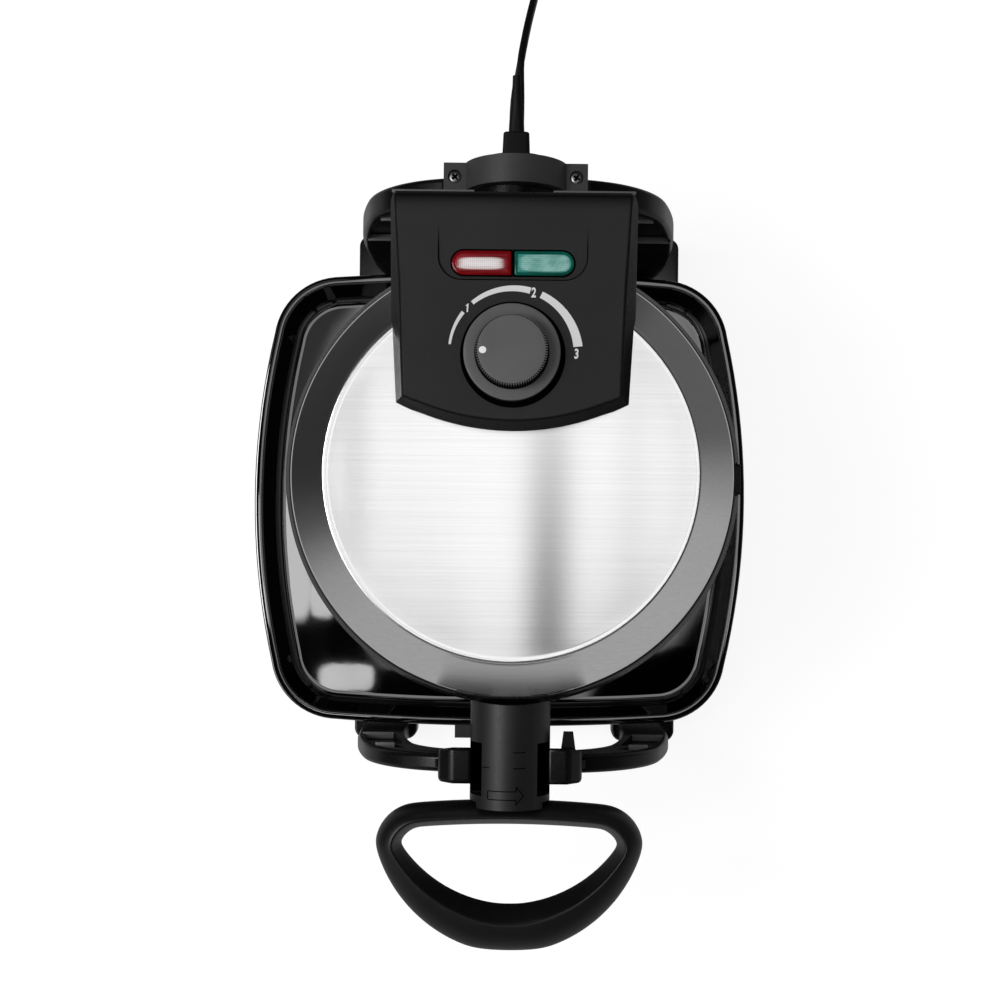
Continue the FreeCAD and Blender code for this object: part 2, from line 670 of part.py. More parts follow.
def make_cap():
    body = new_body("rear_bearing_cap")
    back = d.arch_rear + d.arch_rear_deep
    split = d.axis_height + d.seat_gap
    top = d.axis_height + d.ear_height
    shoulder = root(d.barrel_radius * d.barrel_radius - d.ear_height * d.ear_height)
    profile = new_sketch(body, "profile", "XZ_Plane", -back)
    outline(profile, [
        (d.ear_half, split), (d.ear_half, top), (shoulder, top, d.barrel_radius),
        (-shoulder, top), (-d.ear_half, top), (-d.ear_half, split)])
    pad(body, profile, d.arch_rear_deep)
    bore = new_sketch(body, "bore", "XZ_Plane", -back)
    ring(bore, 0, d.axis_height, journal_bore)
    pocket(body, bore, back=True)
    pocket(body, ear_screw_holes(body, d.screw_shank + d.seat_gap, top, "holes"))
    pocket(body, ear_screw_holes(body, d.screw_head + d.seat_gap, top, "wells"),
           d.screw_head_tall + d.screw_sunk)


def make_cap_screws():
    top = d.axis_height + d.ear_height - d.screw_sunk
    under = top - d.screw_head_tall
    for side, name in ((-1, "left_cap_screw"), (1, "right_cap_screw")):
        spot = (d.ear_screw_x * side, d.arch_rear + d.arch_rear_deep / 2)
        head = rod(f"{name}_head", d.screw_head, d.screw_head_tall, *spot, under)
        foot = d.axis_height - d.seat_gap - d.screw_long + d.run_gap
        shank = rod(f"{name}_shank", d.screw_shank, under - foot, *spot, foot)
        keep(name, fuse(name, head, shank))


def make_rails():
    """Two floor beams under the legs, each on two rubber feet."""
    front = d.arch_front + d.arch_front_deep
    rear = d.arch_rear + d.arch_rear_deep
    middle = (d.rail_inner + d.rail_outer) / 2
    for side, name in ((-1, "left"), (1, "right")):
        body = new_body(f"{name}_rail")
        plan = new_sketch(body, "plan", "XY_Plane", d.foot_height)
        edges = (d.rail_inner, d.rail_outer) if side > 0 else (-d.rail_outer, -d.rail_inner)
        outline(plan, [(edges[0], -front), (edges[1], -front), (edges[1], rear), (edges[0], rear)])
        pad(body, plan, d.rail_height)
        round_edges(body, "corners", d.rail_corner, lambda edge: edge.BoundBox.ZLength > 5)
        for end, spot in (("front", -front + d.foot_radius * 2), ("rear", rear - d.foot_radius * 2)):
            label = f"{end}_{name}_foot"
            keep(label, rod(label, d.foot_radius, d.foot_height, middle * side, spot, 0))


def make_gland():
    """The strain relief behind the rear bearing."""
    back = d.arch_rear + d.arch_rear_deep
    plate = rod("gland_plate", d.gland_flange_radius, d.gland_flange, 0, back, d.axis_height, along_y)
    half = d.gland_width / 2
    sleeve = block("gland_sleeve", -half, half, back, d.gland_end,
                   d.axis_height - half, d.axis_height + half)
    keep("cord_gland", fuse("cord_gland", plate, sleeve))


make_front_arch()
make_rear_arch()
make_cap()
make_cap_screws()
make_rails()
make_gland()


# The head's rear yoke: trunnion, flange and the two arms that carry the lid's hinge pin

def make_yoke():
    flat = d.axis_height - half_gap
    base = block("yoke_base", -d.yoke_half, d.yoke_half, d.bezel_radius - d.yoke_half * 0.3, d.yoke_rear,
                 d.axis_height - d.bezel_height, flat)
    flange_long = d.arch_rear - d.yoke_rear - d.run_gap
    spot = (0, d.yoke_rear, d.axis_height, along_y)
    disc = rod("yoke_flange", d.flange_radius, flange_long, *spot)
    journal = rod("yoke_journal", d.journal_radius, flange_long + d.arch_rear_deep, *spot)
    arms = []
    front, rear = d.hinge_back - d.arm_half_deep, d.hinge_back + d.arm_half_deep
    for side, edges in (("left", (-d.arm_outer, -d.arm_inner)), ("right", (d.arm_inner, d.arm_outer))):
        arms.append(block(f"arm_{side}", *edges, front, rear, flat - d.run_gap, hinge_z))
        arms.append(rod(f"arm_{side}_eye", d.arm_half_deep, d.arm_outer - d.arm_inner,
                        edges[0], d.hinge_back, hinge_z, along_x))
    solid = fuse("yoke_solid", base, disc, journal, *arms)
    bore = rod("yoke_bore", pin_bore, d.pin_half * 2, -d.pin_half, d.hinge_back, hinge_z, along_x)
    keep("rear_yoke", cut("rear_yoke", solid, bezel_core("yoke_seat"), bore))


def make_hinge_pin():
    reach = d.pin_half - d.seat_gap
    keep("hinge_pin", rod("hinge_pin", d.pin_radius, reach * 2, -reach, d.hinge_back, hinge_z, along_x))


make_yoke()
make_hinge_pin()


# Control housing on the lid, drawn from the parting plane

def panel_outline(sketch, rear, rear_half, front_half, corner, bow):
    return outline(sketch, [
        (-front_half, corner, bow), (front_half, corner), (rear_half, rear), (-rear_half, rear)])


def round_end(x, y, radius, side):
    """The points of a half-round end, to the right or to the left, counter-clockwise."""
    return [(x, y - radius * side, radius), (x + radius * side, y, radius), (x, y + radius * side)]


def make_housing():
    body = new_body("control_housing")
    base = (d.panel_rear, d.panel_rear_half, d.panel_front_half, d.panel_corner, d.panel_bow)
    crown = (d.panel_rear, d.panel_top_rear_half, d.panel_top_front_half,
             d.panel_top_corner, d.panel_top_bow)
    pad(body, panel_outline(new_sketch(body, "skirt", "XY_Plane", d.panel_skirt), *base),
        d.panel_base - d.panel_skirt)
    loft(body, [panel_outline(new_sketch(body, "base", "XY_Plane", d.panel_base), *base),
                panel_outline(new_sketch(body, "crown", "XY_Plane", d.panel_top), *crown)])
    top = d.panel_top.number

    def rear_top(edge):
        box = edge.BoundBox
        return box.ZMin > top - 0.01 and box.YMin > d.panel_rear.number - 0.01
    round_edges(body, "rear", d.panel_rear_round, rear_top)
    round_edges(body, "rim", d.panel_edge_round, lambda edge: edge.BoundBox.ZMin > top - 0.01)

    lid = new_sketch(body, "lid", "XZ_Plane")
    clear = d.seat_gap * 2
    outline(lid, [
        (0, 0), (d.bezel_radius + clear, 0), (d.bezel_radius + clear, d.bezel_height + clear),
        (d.cover_radius + clear, d.bezel_height + clear), (d.cover_radius + clear, cover_knee + clear),
        (d.cover_flat + d.cover_bead + clear, cover_top), (0, cover_top)])
    groove = body.newObject("PartDesign::Groove", "control_housing_seat")
    groove.Profile = lid
    groove.ReferenceAxis = (lid, ["V_Axis"])
    groove.Angle = 360
    doc.recompute()

    bay_rear = d.panel_rear - d.bay_wall
    bay_front = bay_rear - d.bay_deep
    cavity = new_sketch(body, "cavity", "XY_Plane", roof_under)
    side = d.panel_top_front_half - d.panel_roof
    cavity_rear = bay_front - d.bay_web
    outline(cavity, [(-side, d.cavity_front, d.panel_bow), (side, d.cavity_front),
                     (side, cavity_rear), (-side, cavity_rear)])
    pocket(body, cavity)
    bay = new_sketch(body, "bay", "XY_Plane", d.hinge_up + d.bay_above)
    outline(bay, [(-d.bay_half, bay_front), (d.bay_half, bay_front),
                  (d.bay_half, bay_rear), (-d.bay_half, bay_rear)])
    pocket(body, bay)
    slots = new_sketch(body, "slots", "XZ_Plane", -d.panel_rear)
    slot_top = d.hinge_up + d.slot_above
    slot_inner = d.arm_inner - d.slot_side
    for low, high in ((-d.bay_half, -slot_inner), (slot_inner, d.bay_half)):
        outline(slots, [(low, 0), (high, 0), (high, slot_top), (low, slot_top)])
    pocket(body, slots, d.bay_wall * 2, back=True)
    bore = new_sketch(body, "bore", "YZ_Plane", d.pin_half)
    ring(bore, d.hinge_back, d.hinge_up, pin_bore)
    pocket(body, bore, d.pin_half * 2)

    inset = new_sketch(body, "inset", "XY_Plane", d.panel_top)
    inset_rear = d.panel_rear - d.inset_back
    outline(inset, mirrored([
        (d.inset_half - d.inset_corner, d.inset_front, d.inset_corner),
        (d.inset_half, d.inset_front + d.inset_corner), (d.inset_half, inset_rear)]))
    pocket(body, inset, d.inset_deep)
    window = new_sketch(body, "window", "XY_Plane", d.panel_top)
    radius = d.lens_wide / 2
    reach = d.lens_half - radius
    outline(window, round_end(reach, d.lens_back, radius, 1) + round_end(-reach, d.lens_back, radius, -1))
    pocket(body, window, d.panel_roof * 1.2)
    well = new_sketch(body, "well", "XY_Plane", d.panel_top)
    ring(well, 0, d.dial_back, d.dial_well)
    pocket(body, well, d.dial_well_deep)
    hole = new_sketch(body, "shaft_hole", "XY_Plane", d.panel_top)
    ring(hole, 0, d.dial_back, d.shaft_radius + d.run_gap)
    pocket(body, hole, d.panel_roof * 1.2)
    return place(body, z=d.axis_height)


def make_lens(name, side):
    body = new_body(name)
    radius = d.lens_wide / 2 - d.seat_gap
    plan = new_sketch(body, "plan", "XY_Plane", lens_top - d.lens_tall)
    inner, outer = d.lens_split / 2 * side, (d.lens_half - d.lens_wide / 2) * side
    back = d.lens_back
    outline(plan, round_end(outer, back, radius, side)
            + [(inner, back + radius * side), (inner, back - radius * side)])
    pad(body, plan, d.lens_tall)
    round_edges(body, "soften", d.lens_round, lambda edge: edge.BoundBox.ZMin > lens_top.number - 0.01)
    return place(body, z=d.axis_height)


def make_lamp_holder():
    """The carrier on the lid that stands two pilot lamps under their lenses."""
    half = d.lens_half - d.lens_wide / 2
    shelf = d.axis_height + roof_under - d.lamp_shelf
    lamp_tall = d.axis_height + lens_top - d.lens_tall - d.run_gap - shelf
    base = block("lamp_base", -half, half, d.lens_back - d.lamp_shelf_half, d.lens_back + d.lamp_shelf_half,
                 d.axis_height + cover_top, shelf)
    lamps = [rod(f"lamp_{side}", d.lamp_radius, lamp_tall, half / 2 * number, d.lens_back, shelf)
             for side, number in (("left", -1), ("right", 1))]
    seat = rod("lamp_seat", d.cover_flat, cover_top, z=d.axis_height)
    keep("lamp_holder", cut("lamp_holder", fuse("lamp_holder", base, *lamps), seat))


def make_thermostat():
    spot = (0, d.dial_back, d.axis_height + cover_top)
    case = rod("thermostat_case", d.thermostat_radius, d.thermostat_tall, *spot)
    shaft = rod("thermostat_shaft", d.shaft_radius, d.panel_top + d.dial_skirt_tall - cover_top, *spot)
    keep("thermostat", fuse("thermostat", case, shaft))


def make_dial():
    body = new_body("browning_dial")
    profile = new_sketch(body, "profile", "XZ_Plane")
    low = well_floor + d.run_gap
    rim = low + d.dial_skirt_tall
    top = rim + d.dial_grip_tall
    bore = d.shaft_radius + d.seat_gap
    roof = d.panel_top + d.dial_skirt_tall + d.run_gap
    outline(profile, [
        (bore, low), (d.dial_skirt, low),
        (d.dial_skirt, rim - d.dial_bevel), (d.dial_skirt - d.dial_bevel, rim),
        (d.dial_grip + d.dial_foot, rim), (d.dial_grip, rim + d.dial_foot),
        (d.dial_grip, top - d.dial_bevel), (d.dial_grip - d.dial_bevel, top),
        (0, top), (0, roof), (bore, roof)])
    revolve(body, profile)
    flute = new_sketch(body, "flute", "XY_Plane", top)
    outline(flute, [(d.dial_grip - d.dial_flute, 0), (d.dial_grip + d.dial_flute, -d.dial_flute_wide),
                    (d.dial_grip + d.dial_flute, d.dial_flute_wide)])
    groove = pocket(body, flute, d.dial_grip_tall - d.dial_foot)
    flutes = body.newObject("PartDesign::PolarPattern", "browning_dial_flutes")
    flutes.Originals = [groove]
    flutes.Axis = (profile, ["V_Axis"])
    flutes.Angle = 360
    flutes.Occurrences = 90
    body.Tip = flutes
    doc.recompute()
    spot = new_sketch(body, "spot", "XY_Plane", top)
    spot_x = d.spot_in - d.dial_grip
    ring(spot, spot_x, 0, d.spot_radius)
    pocket(body, spot, d.spot_deep)
    place(body, y=d.dial_back, z=d.axis_height)
    marker = rod("dial_marker", d.spot_radius - d.seat_gap, d.spot_deep, spot_x, d.dial_back,
                 d.axis_height + top - d.spot_deep)
    keep("dial_marker", marker)


make_housing()
make_lens("red_lens", -1)
make_lens("green_lens", 1)
make_lamp_holder()
make_thermostat()
make_dial()


# Drip tray

def tray_outline(sketch, inset):
    """The tray's plan, drawn in by an even inset: four bowed sides joined by round corners."""
    side_bow, end_bow, corner = d.tray_side_bow - inset, d.tray_end_bow - inset, d.tray_corner - inset
    side_half = d.tray_side_half * (side_bow / d.tray_side_bow)
    end_half = d.tray_end_half * (end_bow / d.tray_end_bow)
    x = d.tray_half_width - d.tray_side_bow + root(side_bow * side_bow - side_half * side_half)
    y = d.tray_half_length - d.tray_end_bow + root(end_bow * end_bow - end_half * end_half)
    left, mid = -d.tray_left, -d.tray_forward
    outline(sketch, [
        (left - end_half, mid - y, end_bow), (left + end_half, mid - y, corner),
        (left + x, mid - side_half, side_bow), (left + x, mid + side_half, corner),
        (left + end_half, mid + y, end_bow), (left - end_half, mid + y, corner),
        (left - x, mid + side_half, side_bow), (left - x, mid - side_half, corner)])
    return sketch


def make_tray():
    body = new_body("drip_tray")
    bottom = rail_top + d.run_gap
    rim_under = d.tray_rim - d.tray_lip_tall
    foot = d.tray_lip + d.tray_slope
    loft(body, [tray_outline(new_sketch(body, "floor", "XY_Plane", bottom), foot),
                tray_outline(new_sketch(body, "brim", "XY_Plane", rim_under), d.tray_lip)])
    pad(body, tray_outline(new_sketch(body, "lip", "XY_Plane", rim_under), length(0)), d.tray_lip_tall)
    basin_floor = new_sketch(body, "basin_floor", "XY_Plane", bottom + d.tray_wall)
    basin_brim = new_sketch(body, "basin_brim", "XY_Plane", d.tray_rim)
    loft(body, [tray_outline(basin_floor, foot + d.tray_wall),
                tray_outline(basin_brim, d.tray_lip + d.tray_wall)], "SubtractiveLoft")


make_tray()


# Cord: a lead that leaves the gland, droops to the counter and ends in a put-away coil and a plug

def tangent_arc(start, heading, stop):
    """The arc that leaves start along heading and ends at stop."""
    chord = stop - start
    turn = heading.getAngle(chord)
    middle = (start + stop) / 2
    if turn < 1e-6:
        return Part.LineSegment(start, stop)
    side = heading - chord * (heading.dot(chord) / chord.dot(chord))
    return Part.Arc(start, middle + side.normalize() * (chord.Length / 2 * math.tan(turn / 2)), stop)


def lead_wire(points):
    """Straight runs joined by tangent arcs that are as large as the two runs allow."""
    edges, radii = [], []
    here = points[0]
    for before, corner, after in zip(points, points[1:], points[2:]):
        arriving, leaving = corner - before, after - corner
        turn = arriving.getAngle(leaving)
        trim = 0.45 * min(arriving.Length, leaving.Length)
        radii.append(trim / math.tan(turn / 2))
        enter = corner - arriving.normalize() * trim
        leave = corner + leaving.normalize() * trim
        edges.append(Part.LineSegment(here, enter).toShape())
        edges.append(tangent_arc(enter, arriving, leave).toShape())
        here = leave
    edges.append(Part.LineSegment(here, points[-1]).toShape())
    print("cord radii", [round(radius, 1) for radius in radii])
    return Part.Wire(edges)


def biarc(start, start_heading, stop, stop_heading):
    """Two arcs that meet smoothly between two headings."""
    gap = stop - start
    both = start_heading + stop_heading
    open_turn = 2 * (1 - start_heading.dot(stop_heading))
    reach = (-gap.dot(both) + math.sqrt(gap.dot(both) ** 2 + open_turn * gap.dot(gap))) / open_turn
    joint = (start + start_heading * reach + stop - stop_heading * reach) / 2
    first = tangent_arc(start, start_heading, joint)
    second = tangent_arc(stop, stop_heading * -1, joint)
    halfway = second.value((second.FirstParameter + second.LastParameter) / 2)
    return [first.toShape(), Part.Arc(joint, halfway, stop).toShape()]


def tube(name, wire, radius):
    """A round tube along a wire, whose volume must be its section times its length."""
    start = wire.Edges[0]
    heading = start.tangentAt(start.FirstParameter)
    section = Part.Wire(Part.Circle(start.valueAt(start.FirstParameter), heading, radius).toShape())
    solid = wire.makePipeShell([section], True, False)
    expected = math.pi * radius ** 2 * wire.Length
    if abs(solid.Volume / expected - 1) > 0.01:
        raise ValueError(f"{name} has volume {solid.Volume} in place of {expected}")
    thing = keep(name, doc.addObject("Part::Feature", name))
    thing.Shape = solid
    return wire.Length


def coil_station(turns):
    """A point of the coil, in turns from its start: one turn in, a half turn up, one turn out."""
    outer, pitch = d.coil_outer.number, d.coil_pitch.number
    low = d.cord_thick.number / 2 + d.run_gap.number
    reverse = 1.25
    inward = min(turns, reverse) - max(turns - reverse, 0)
    climb = min(max((turns - reverse + 0.25) / 0.5, 0), 1)
    height = low + d.coil_layer.number * (climb * climb * (3 - 2 * climb))
    angle = 2 * math.pi * turns
    radius = outer - pitch * inward
    return Vec(d.coil_side.number + radius * math.cos(angle),
               d.coil_back.number + radius * math.sin(angle), height)


def coil_heading(turns):
    step = 0.0005
    return (coil_station(turns + step) - coil_station(turns - step)).normalize()


def make_cord():
    radius = d.cord_thick.number / 2
    edges = []
    stations = [quarter / 4 for quarter in range(11)]
    first = coil_station(stations[0])
    entry_heading = Vec(0, 1, 0)
    headings = [entry_heading] + [coil_heading(turns) for turns in stations[1:]]
    for index in range(len(stations) - 1):
        edges += biarc(coil_station(stations[index]), headings[index],
                       coil_station(stations[index + 1]), headings[index + 1])
    last, leaving = coil_station(stations[-1]), coil_heading(stations[-1])
    tail = last + leaving * d.coil_tail.number
    edges.append(Part.LineSegment(last, tail).toShape())
    lead_in = first - entry_heading * d.cord_thick.number
    edges.insert(0, Part.LineSegment(lead_in, first).toShape())
    coil = Part.Wire(edges)

    lead = lead_wire([
        Vec(0, d.gland_end.number, d.axis_height.number), Vec(0, 182, d.axis_height.number),
        Vec(4, 209, 142.5),
        Vec(8.5, 234, 126), Vec(10, 253, 102), Vec(10.5, 268, 74), Vec(10.5, 284, 46), Vec(10, 303, 22),
        Vec(10, 322, 8.6), Vec(lead_in.x, 341, lead_in.z), lead_in])
    lead_long = tube("power_cord", lead, radius)
    coil_long = tube("cord_coil", coil, radius)
    print("cord length", round(lead_long + coil_long, 1))

    samples = coil.discretize(Number=600)
    least = min((one - other).Length for index, one in enumerate(samples) for other in samples[index + 40:])
    print("coil gap", round(least - 2 * radius, 2))
    return tail, leaving


def make_plug(rear, heading):
    """A two-blade plug at the end of the coil's tail."""
    turn = math.degrees(math.atan2(heading.y, heading.x))
    around = (Vec(0, 0, 1), turn)
    half_wide, half_tall = d.plug_wide / 2, d.plug_tall / 2
    body = new_body("power_plug")
    neck = new_sketch(body, "neck", "YZ_Plane", 0)
    slim = d.plug_neck
    outline(neck, [(-slim, -slim), (slim, -slim), (slim, slim), (-slim, slim)])
    face = new_sketch(body, "face", "YZ_Plane", d.plug_long)
    outline(face, [(-half_wide, -half_tall), (half_wide, -half_tall),
                   (half_wide, half_tall), (-half_wide, half_tall)])
    loft(body, [neck, face])
    place(body, rear.x, rear.y, rear.z, around)
    blades = new_body("plug_blades")
    sketch = new_sketch(blades, "blades", "YZ_Plane", d.plug_long)
    for side in (-1, 1):
        middle = d.blade_apart / 2 * side
        low, high = -d.blade_wide / 2, d.blade_wide / 2
        outline(sketch, [(middle - d.blade_thick / 2, low), (middle + d.blade_thick / 2, low),
                         (middle + d.blade_thick / 2, high), (middle - d.blade_thick / 2, high)])
    pad(blades, sketch, d.blade_long)
    place(blades, rear.x, rear.y, rear.z, around)


make_plug(*make_cord())


doc.recompute()
for thing in doc.Objects:
    if "Invalid" in thing.State or "Error" in thing.State:
        raise ValueError(f"{thing.Label} failed: {thing.State}")
for name, thing in pieces.items():
    if thing.Shape.isNull() or not thing.Shape.isValid():
        raise ValueError(f"{name} has no valid shape")

os.makedirs("parts", exist_ok=True)
for name, thing in pieces.items():
    thing.Shape.exportStep(f"parts/{name}.step")
    print(name, thing.Shape.ShapeType, len(thing.Shape.Solids), round(thing.Shape.Volume / 1000, 2), "cm3")
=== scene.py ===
import bmesh
import bpy
import math
from mathutils import Matrix, Vector


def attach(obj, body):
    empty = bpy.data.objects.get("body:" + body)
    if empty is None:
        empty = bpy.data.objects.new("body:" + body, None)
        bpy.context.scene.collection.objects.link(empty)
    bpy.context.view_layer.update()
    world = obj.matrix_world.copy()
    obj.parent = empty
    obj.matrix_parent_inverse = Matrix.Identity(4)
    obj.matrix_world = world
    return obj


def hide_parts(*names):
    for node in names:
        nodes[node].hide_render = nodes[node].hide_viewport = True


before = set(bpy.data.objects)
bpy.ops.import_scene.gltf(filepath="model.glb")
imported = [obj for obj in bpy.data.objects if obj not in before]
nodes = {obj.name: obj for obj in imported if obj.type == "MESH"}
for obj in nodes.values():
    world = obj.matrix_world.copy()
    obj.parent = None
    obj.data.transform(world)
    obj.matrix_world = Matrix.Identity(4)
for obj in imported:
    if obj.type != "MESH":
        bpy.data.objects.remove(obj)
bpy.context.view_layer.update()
print("frame loaded,", len(nodes), "nodes")

scene = bpy.context.scene
scene.view_settings.view_transform = "Standard"
unit = 0.001  # sizes below are written in millimetres
axisHeight = 150.0  # the flip axis above the counter
panelLevel = 211.0  # the face of the control housing


# small tools for meshes

def shadeByAngle(mesh, degrees):
    mesh.shade_smooth()
    mesh.set_sharp_from_angle(angle=math.radians(degrees))


def addObject(name, data):
    piece = bpy.data.objects.new(name, data)
    scene.collection.objects.link(piece)
    return piece


def meshObject(name, points, faces, degrees=32):
    mesh = bpy.data.meshes.new(name)
    mesh.from_pydata([tuple(Vector(point) * unit) for point in points], [], faces)
    solid = bmesh.new()
    solid.from_mesh(mesh)
    bmesh.ops.remove_doubles(solid, verts=solid.verts, dist=1e-6)
    bmesh.ops.recalc_face_normals(solid, faces=solid.faces)
    solid.to_mesh(mesh)
    solid.free()
    shadeByAngle(mesh, degrees)
    return addObject(name, mesh)


def finalMesh(piece):
    # the plain mesh that a piece's modifiers, curve or text give
    bpy.context.view_layer.update()
    graph = bpy.context.evaluated_depsgraph_get()
    return bpy.data.meshes.new_from_object(piece.evaluated_get(graph))


def applyModifiers(piece):
    plain = finalMesh(piece)
    piece.modifiers.clear()
    piece.data = plain
    return piece


def settle(piece, degrees=32):
    applyModifiers(piece)
    shadeByAngle(piece.data, degrees)
    return piece


def soften(piece, width, segments=3, degrees=32):
    bevel = piece.modifiers.new("softEdges", "BEVEL")
    bevel.width = width * unit
    bevel.segments = segments
    bevel.limit_method = "ANGLE"
    bevel.angle_limit = math.radians(degrees)
    return settle(piece, degrees)


def weighNormals(piece):
    # large flat faces keep their own normal, so that only the rounded edges turn
    weigh = piece.modifiers.new("weighNormals", "WEIGHTED_NORMAL")
    weigh.keep_sharp = True
    weigh.weight = 100
    return applyModifiers(piece)


def joinInto(piece, *others):
    # adds the others' meshes to the first
    solid = bmesh.new()
    solid.from_mesh(piece.data)
    for other in others:
        solid.from_mesh(other.data)
        bpy.data.objects.remove(other)
    solid.to_mesh(piece.data)
    solid.free()
    return piece


def stackRings(name, rings, closed=False, degrees=40):
    # joins rings of equal counts; closed ends get a face, otherwise the last ring joins the first
    count = len(rings[0])
    points = [point for ring in rings for point in ring]
    faces = []
    pairs = list(zip(range(len(rings)), range(1, len(rings))))
    if not closed:
        pairs.append((len(rings) - 1, 0))
    for one, other in pairs:
        low, high = one * count, other * count
        for step in range(count):
            after = (step + 1) % count
            faces.append((low + step, low + after, high + after, high + step))
    if closed:
        faces.append(tuple(range(count)))
        faces.append(tuple(range((len(rings) - 1) * count, len(rings) * count)))
    return meshObject(name, points, faces, degrees)


def prism(name, plan, levels, degrees=40):
    # a plan of (x, y) carried up through the levels
    rings = [[(x, y, level) for x, y in plan] for level in levels]
    return stackRings(name, rings, closed=True, degrees=degrees)


def boxPlan(low, high, side):
    # the corners of a rectangle, on the right for side 1 and on the left for -1
    near, far = side * low[0], side * high[0]
    return [(near, low[1]), (far, low[1]), (far, high[1]), (near, high[1])]


def circlePoints(centre, radius, count):
    turns = [2 * math.pi * step / count for step in range(count)]
    return [(centre[0] + radius * math.cos(turn), centre[1] + radius * math.sin(turn)) for turn in turns]


axisGap = 0.01  # how near a turned profile comes to its axis


def lathe(name, profile, segments=160, centre=(0, 0), degrees=32):
    # a closed profile of (radius, height) turned about an upright axis
    rings = [[(x, y, height) for x, y in circlePoints(centre, radius, segments)]
             for radius, height in profile]
    return stackRings(name, rings, degrees=degrees)


def clamp(value):
    return min(max(value, 0), 1)


def ease(value):
    # a smooth rise from 0 to 1
    share = clamp(value)
    return share * share * (3 - 2 * share)


def roundedProfile(corners, steps=5):
    # (radius, height, rounding) corners to points, with a curve in place of each rounded corner
    points = []
    for index, corner in enumerate(corners):
        here = Vector(corner[:2])
        if len(corner) < 3:
            points.append(tuple(here))
            continue
        last, following = Vector(corners[index - 1][:2]), Vector(corners[(index + 1) % len(corners)][:2])
        before = here + (last - here).normalized() * corner[2]
        after = here + (following - here).normalized() * corner[2]
        for step in range(steps + 1):
            share = step / steps
            spot = before * (1 - share) ** 2 + here * 2 * share * (1 - share) + after * share ** 2
            points.append(tuple(spot))
    return points


def arcPoints(start, stop, radius, count):
    # a counter-clockwise arc, without its last point
    start, stop = Vector(start), Vector(stop)
    chord = stop - start
    left = Vector((-chord.y, chord.x)).normalized()
    centre = (start + stop) / 2 + left * math.sqrt(max(radius ** 2 - (chord.length / 2) ** 2, 0))
    first = math.atan2(start.y - centre.y, start.x - centre.x)
    last = math.atan2(stop.y - centre.y, stop.x - centre.x)
    sweep = (last - first) % (2 * math.pi)
    turns = [first + sweep * step / count for step in range(count)]
    return [centre + Vector((math.cos(turn), math.sin(turn))) * radius for turn in turns]


def softRing(points, passes):
    # eases the small corners where arcs of a closed outline meet
    for _ in range(passes):
        points = [points[index - 1] * 0.25 + point * 0.5 + points[(index + 1) % len(points)] * 0.25
                  for index, point in enumerate(points)]
    return points


def roundWithin(piece, boxes, width, longerThan, segments=4, degrees=25):
    # rounds only the long sharp edges inside the boxes of (low corner, high corner)
    solid = bmesh.new()
    solid.from_mesh(piece.data)
    weights = solid.edges.layers.float.new("bevel_weight_edge")
    for edge in solid.edges:
        middle = (edge.verts[0].co + edge.verts[1].co) / 2 / unit
        inside = any(all(low[side] <= middle[side] <= high[side] for side in range(3))
                     for low, high in boxes)
        sharp = edge.is_manifold and edge.calc_face_angle(0) > math.radians(degrees)
        if inside and sharp and edge.is_convex and edge.calc_length() > longerThan * unit:
            edge[weights] = 1.0
    solid.to_mesh(piece.data)
    solid.free()
    bevel = piece.modifiers.new("roundWithin", "BEVEL")
    bevel.width = width * unit
    bevel.segments = segments
    bevel.limit_method = "WEIGHT"
    bevel.use_clamp_overlap = False
    return settle(piece, 34)


def softCopy(nodeName, name, width, reshape=None, segments=2, degrees=34):
    # a CAD node's shape with its edges softened
    mesh = nodes[nodeName].data.copy()
    mesh.name = name
    solid = bmesh.new()
    solid.from_mesh(mesh)
    if reshape:
        reshape(solid)
    bmesh.ops.remove_doubles(solid, verts=solid.verts, dist=2e-6)
    bmesh.ops.dissolve_limit(solid, angle_limit=math.radians(0.4), verts=solid.verts, edges=solid.edges)
    solid.to_mesh(mesh)
    solid.free()
    piece = addObject(name, mesh)
    if width:
        return soften(piece, width, segments, degrees)
    shadeByAngle(mesh, degrees)
    return piece


def dress(piece, finish, body, slotName, *replaced):
    piece.data.materials.clear()
    piece.data.materials.append(finishes[finish])
    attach(piece, body)
    if replaced:
        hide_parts(*replaced)
    return piece


# shader groups

def newGroup(name, inputs, outputs):
    group = bpy.data.node_groups.new(name, "ShaderNodeTree")
    for label, value in inputs:
        socket = group.interface.new_socket(label, in_out="INPUT", socket_type="NodeSocketFloat")
        socket.default_value = value
    for label in outputs:
        group.interface.new_socket(label, in_out="OUTPUT", socket_type="NodeSocketFloat")
    return group, group.nodes.new("NodeGroupInput"), group.nodes.new("NodeGroupOutput")


def feed(tree, socket, value):
    # an output is linked to the socket, and a plain value is set on it
    if isinstance(value, bpy.types.NodeSocket):
        tree.links.new(value, socket)
    else:
        socket.default_value = value


def mathNode(tree, operation, *values):
    node = tree.nodes.new("ShaderNodeMath")
    node.operation = operation
    for socket, value in zip(node.inputs, values):
        feed(tree, socket, value)
    return node.outputs[0]


def noiseNode(tree, vector, scale, detail=2.0, roughness=0.5):
    node = tree.nodes.new("ShaderNodeTexNoise")
    node.inputs["Detail"].default_value = detail
    node.inputs["Roughness"].default_value = roughness
    tree.links.new(vector, node.inputs["Vector"])
    feed(tree, node.inputs["Scale"], scale)
    return node.outputs["Fac"]


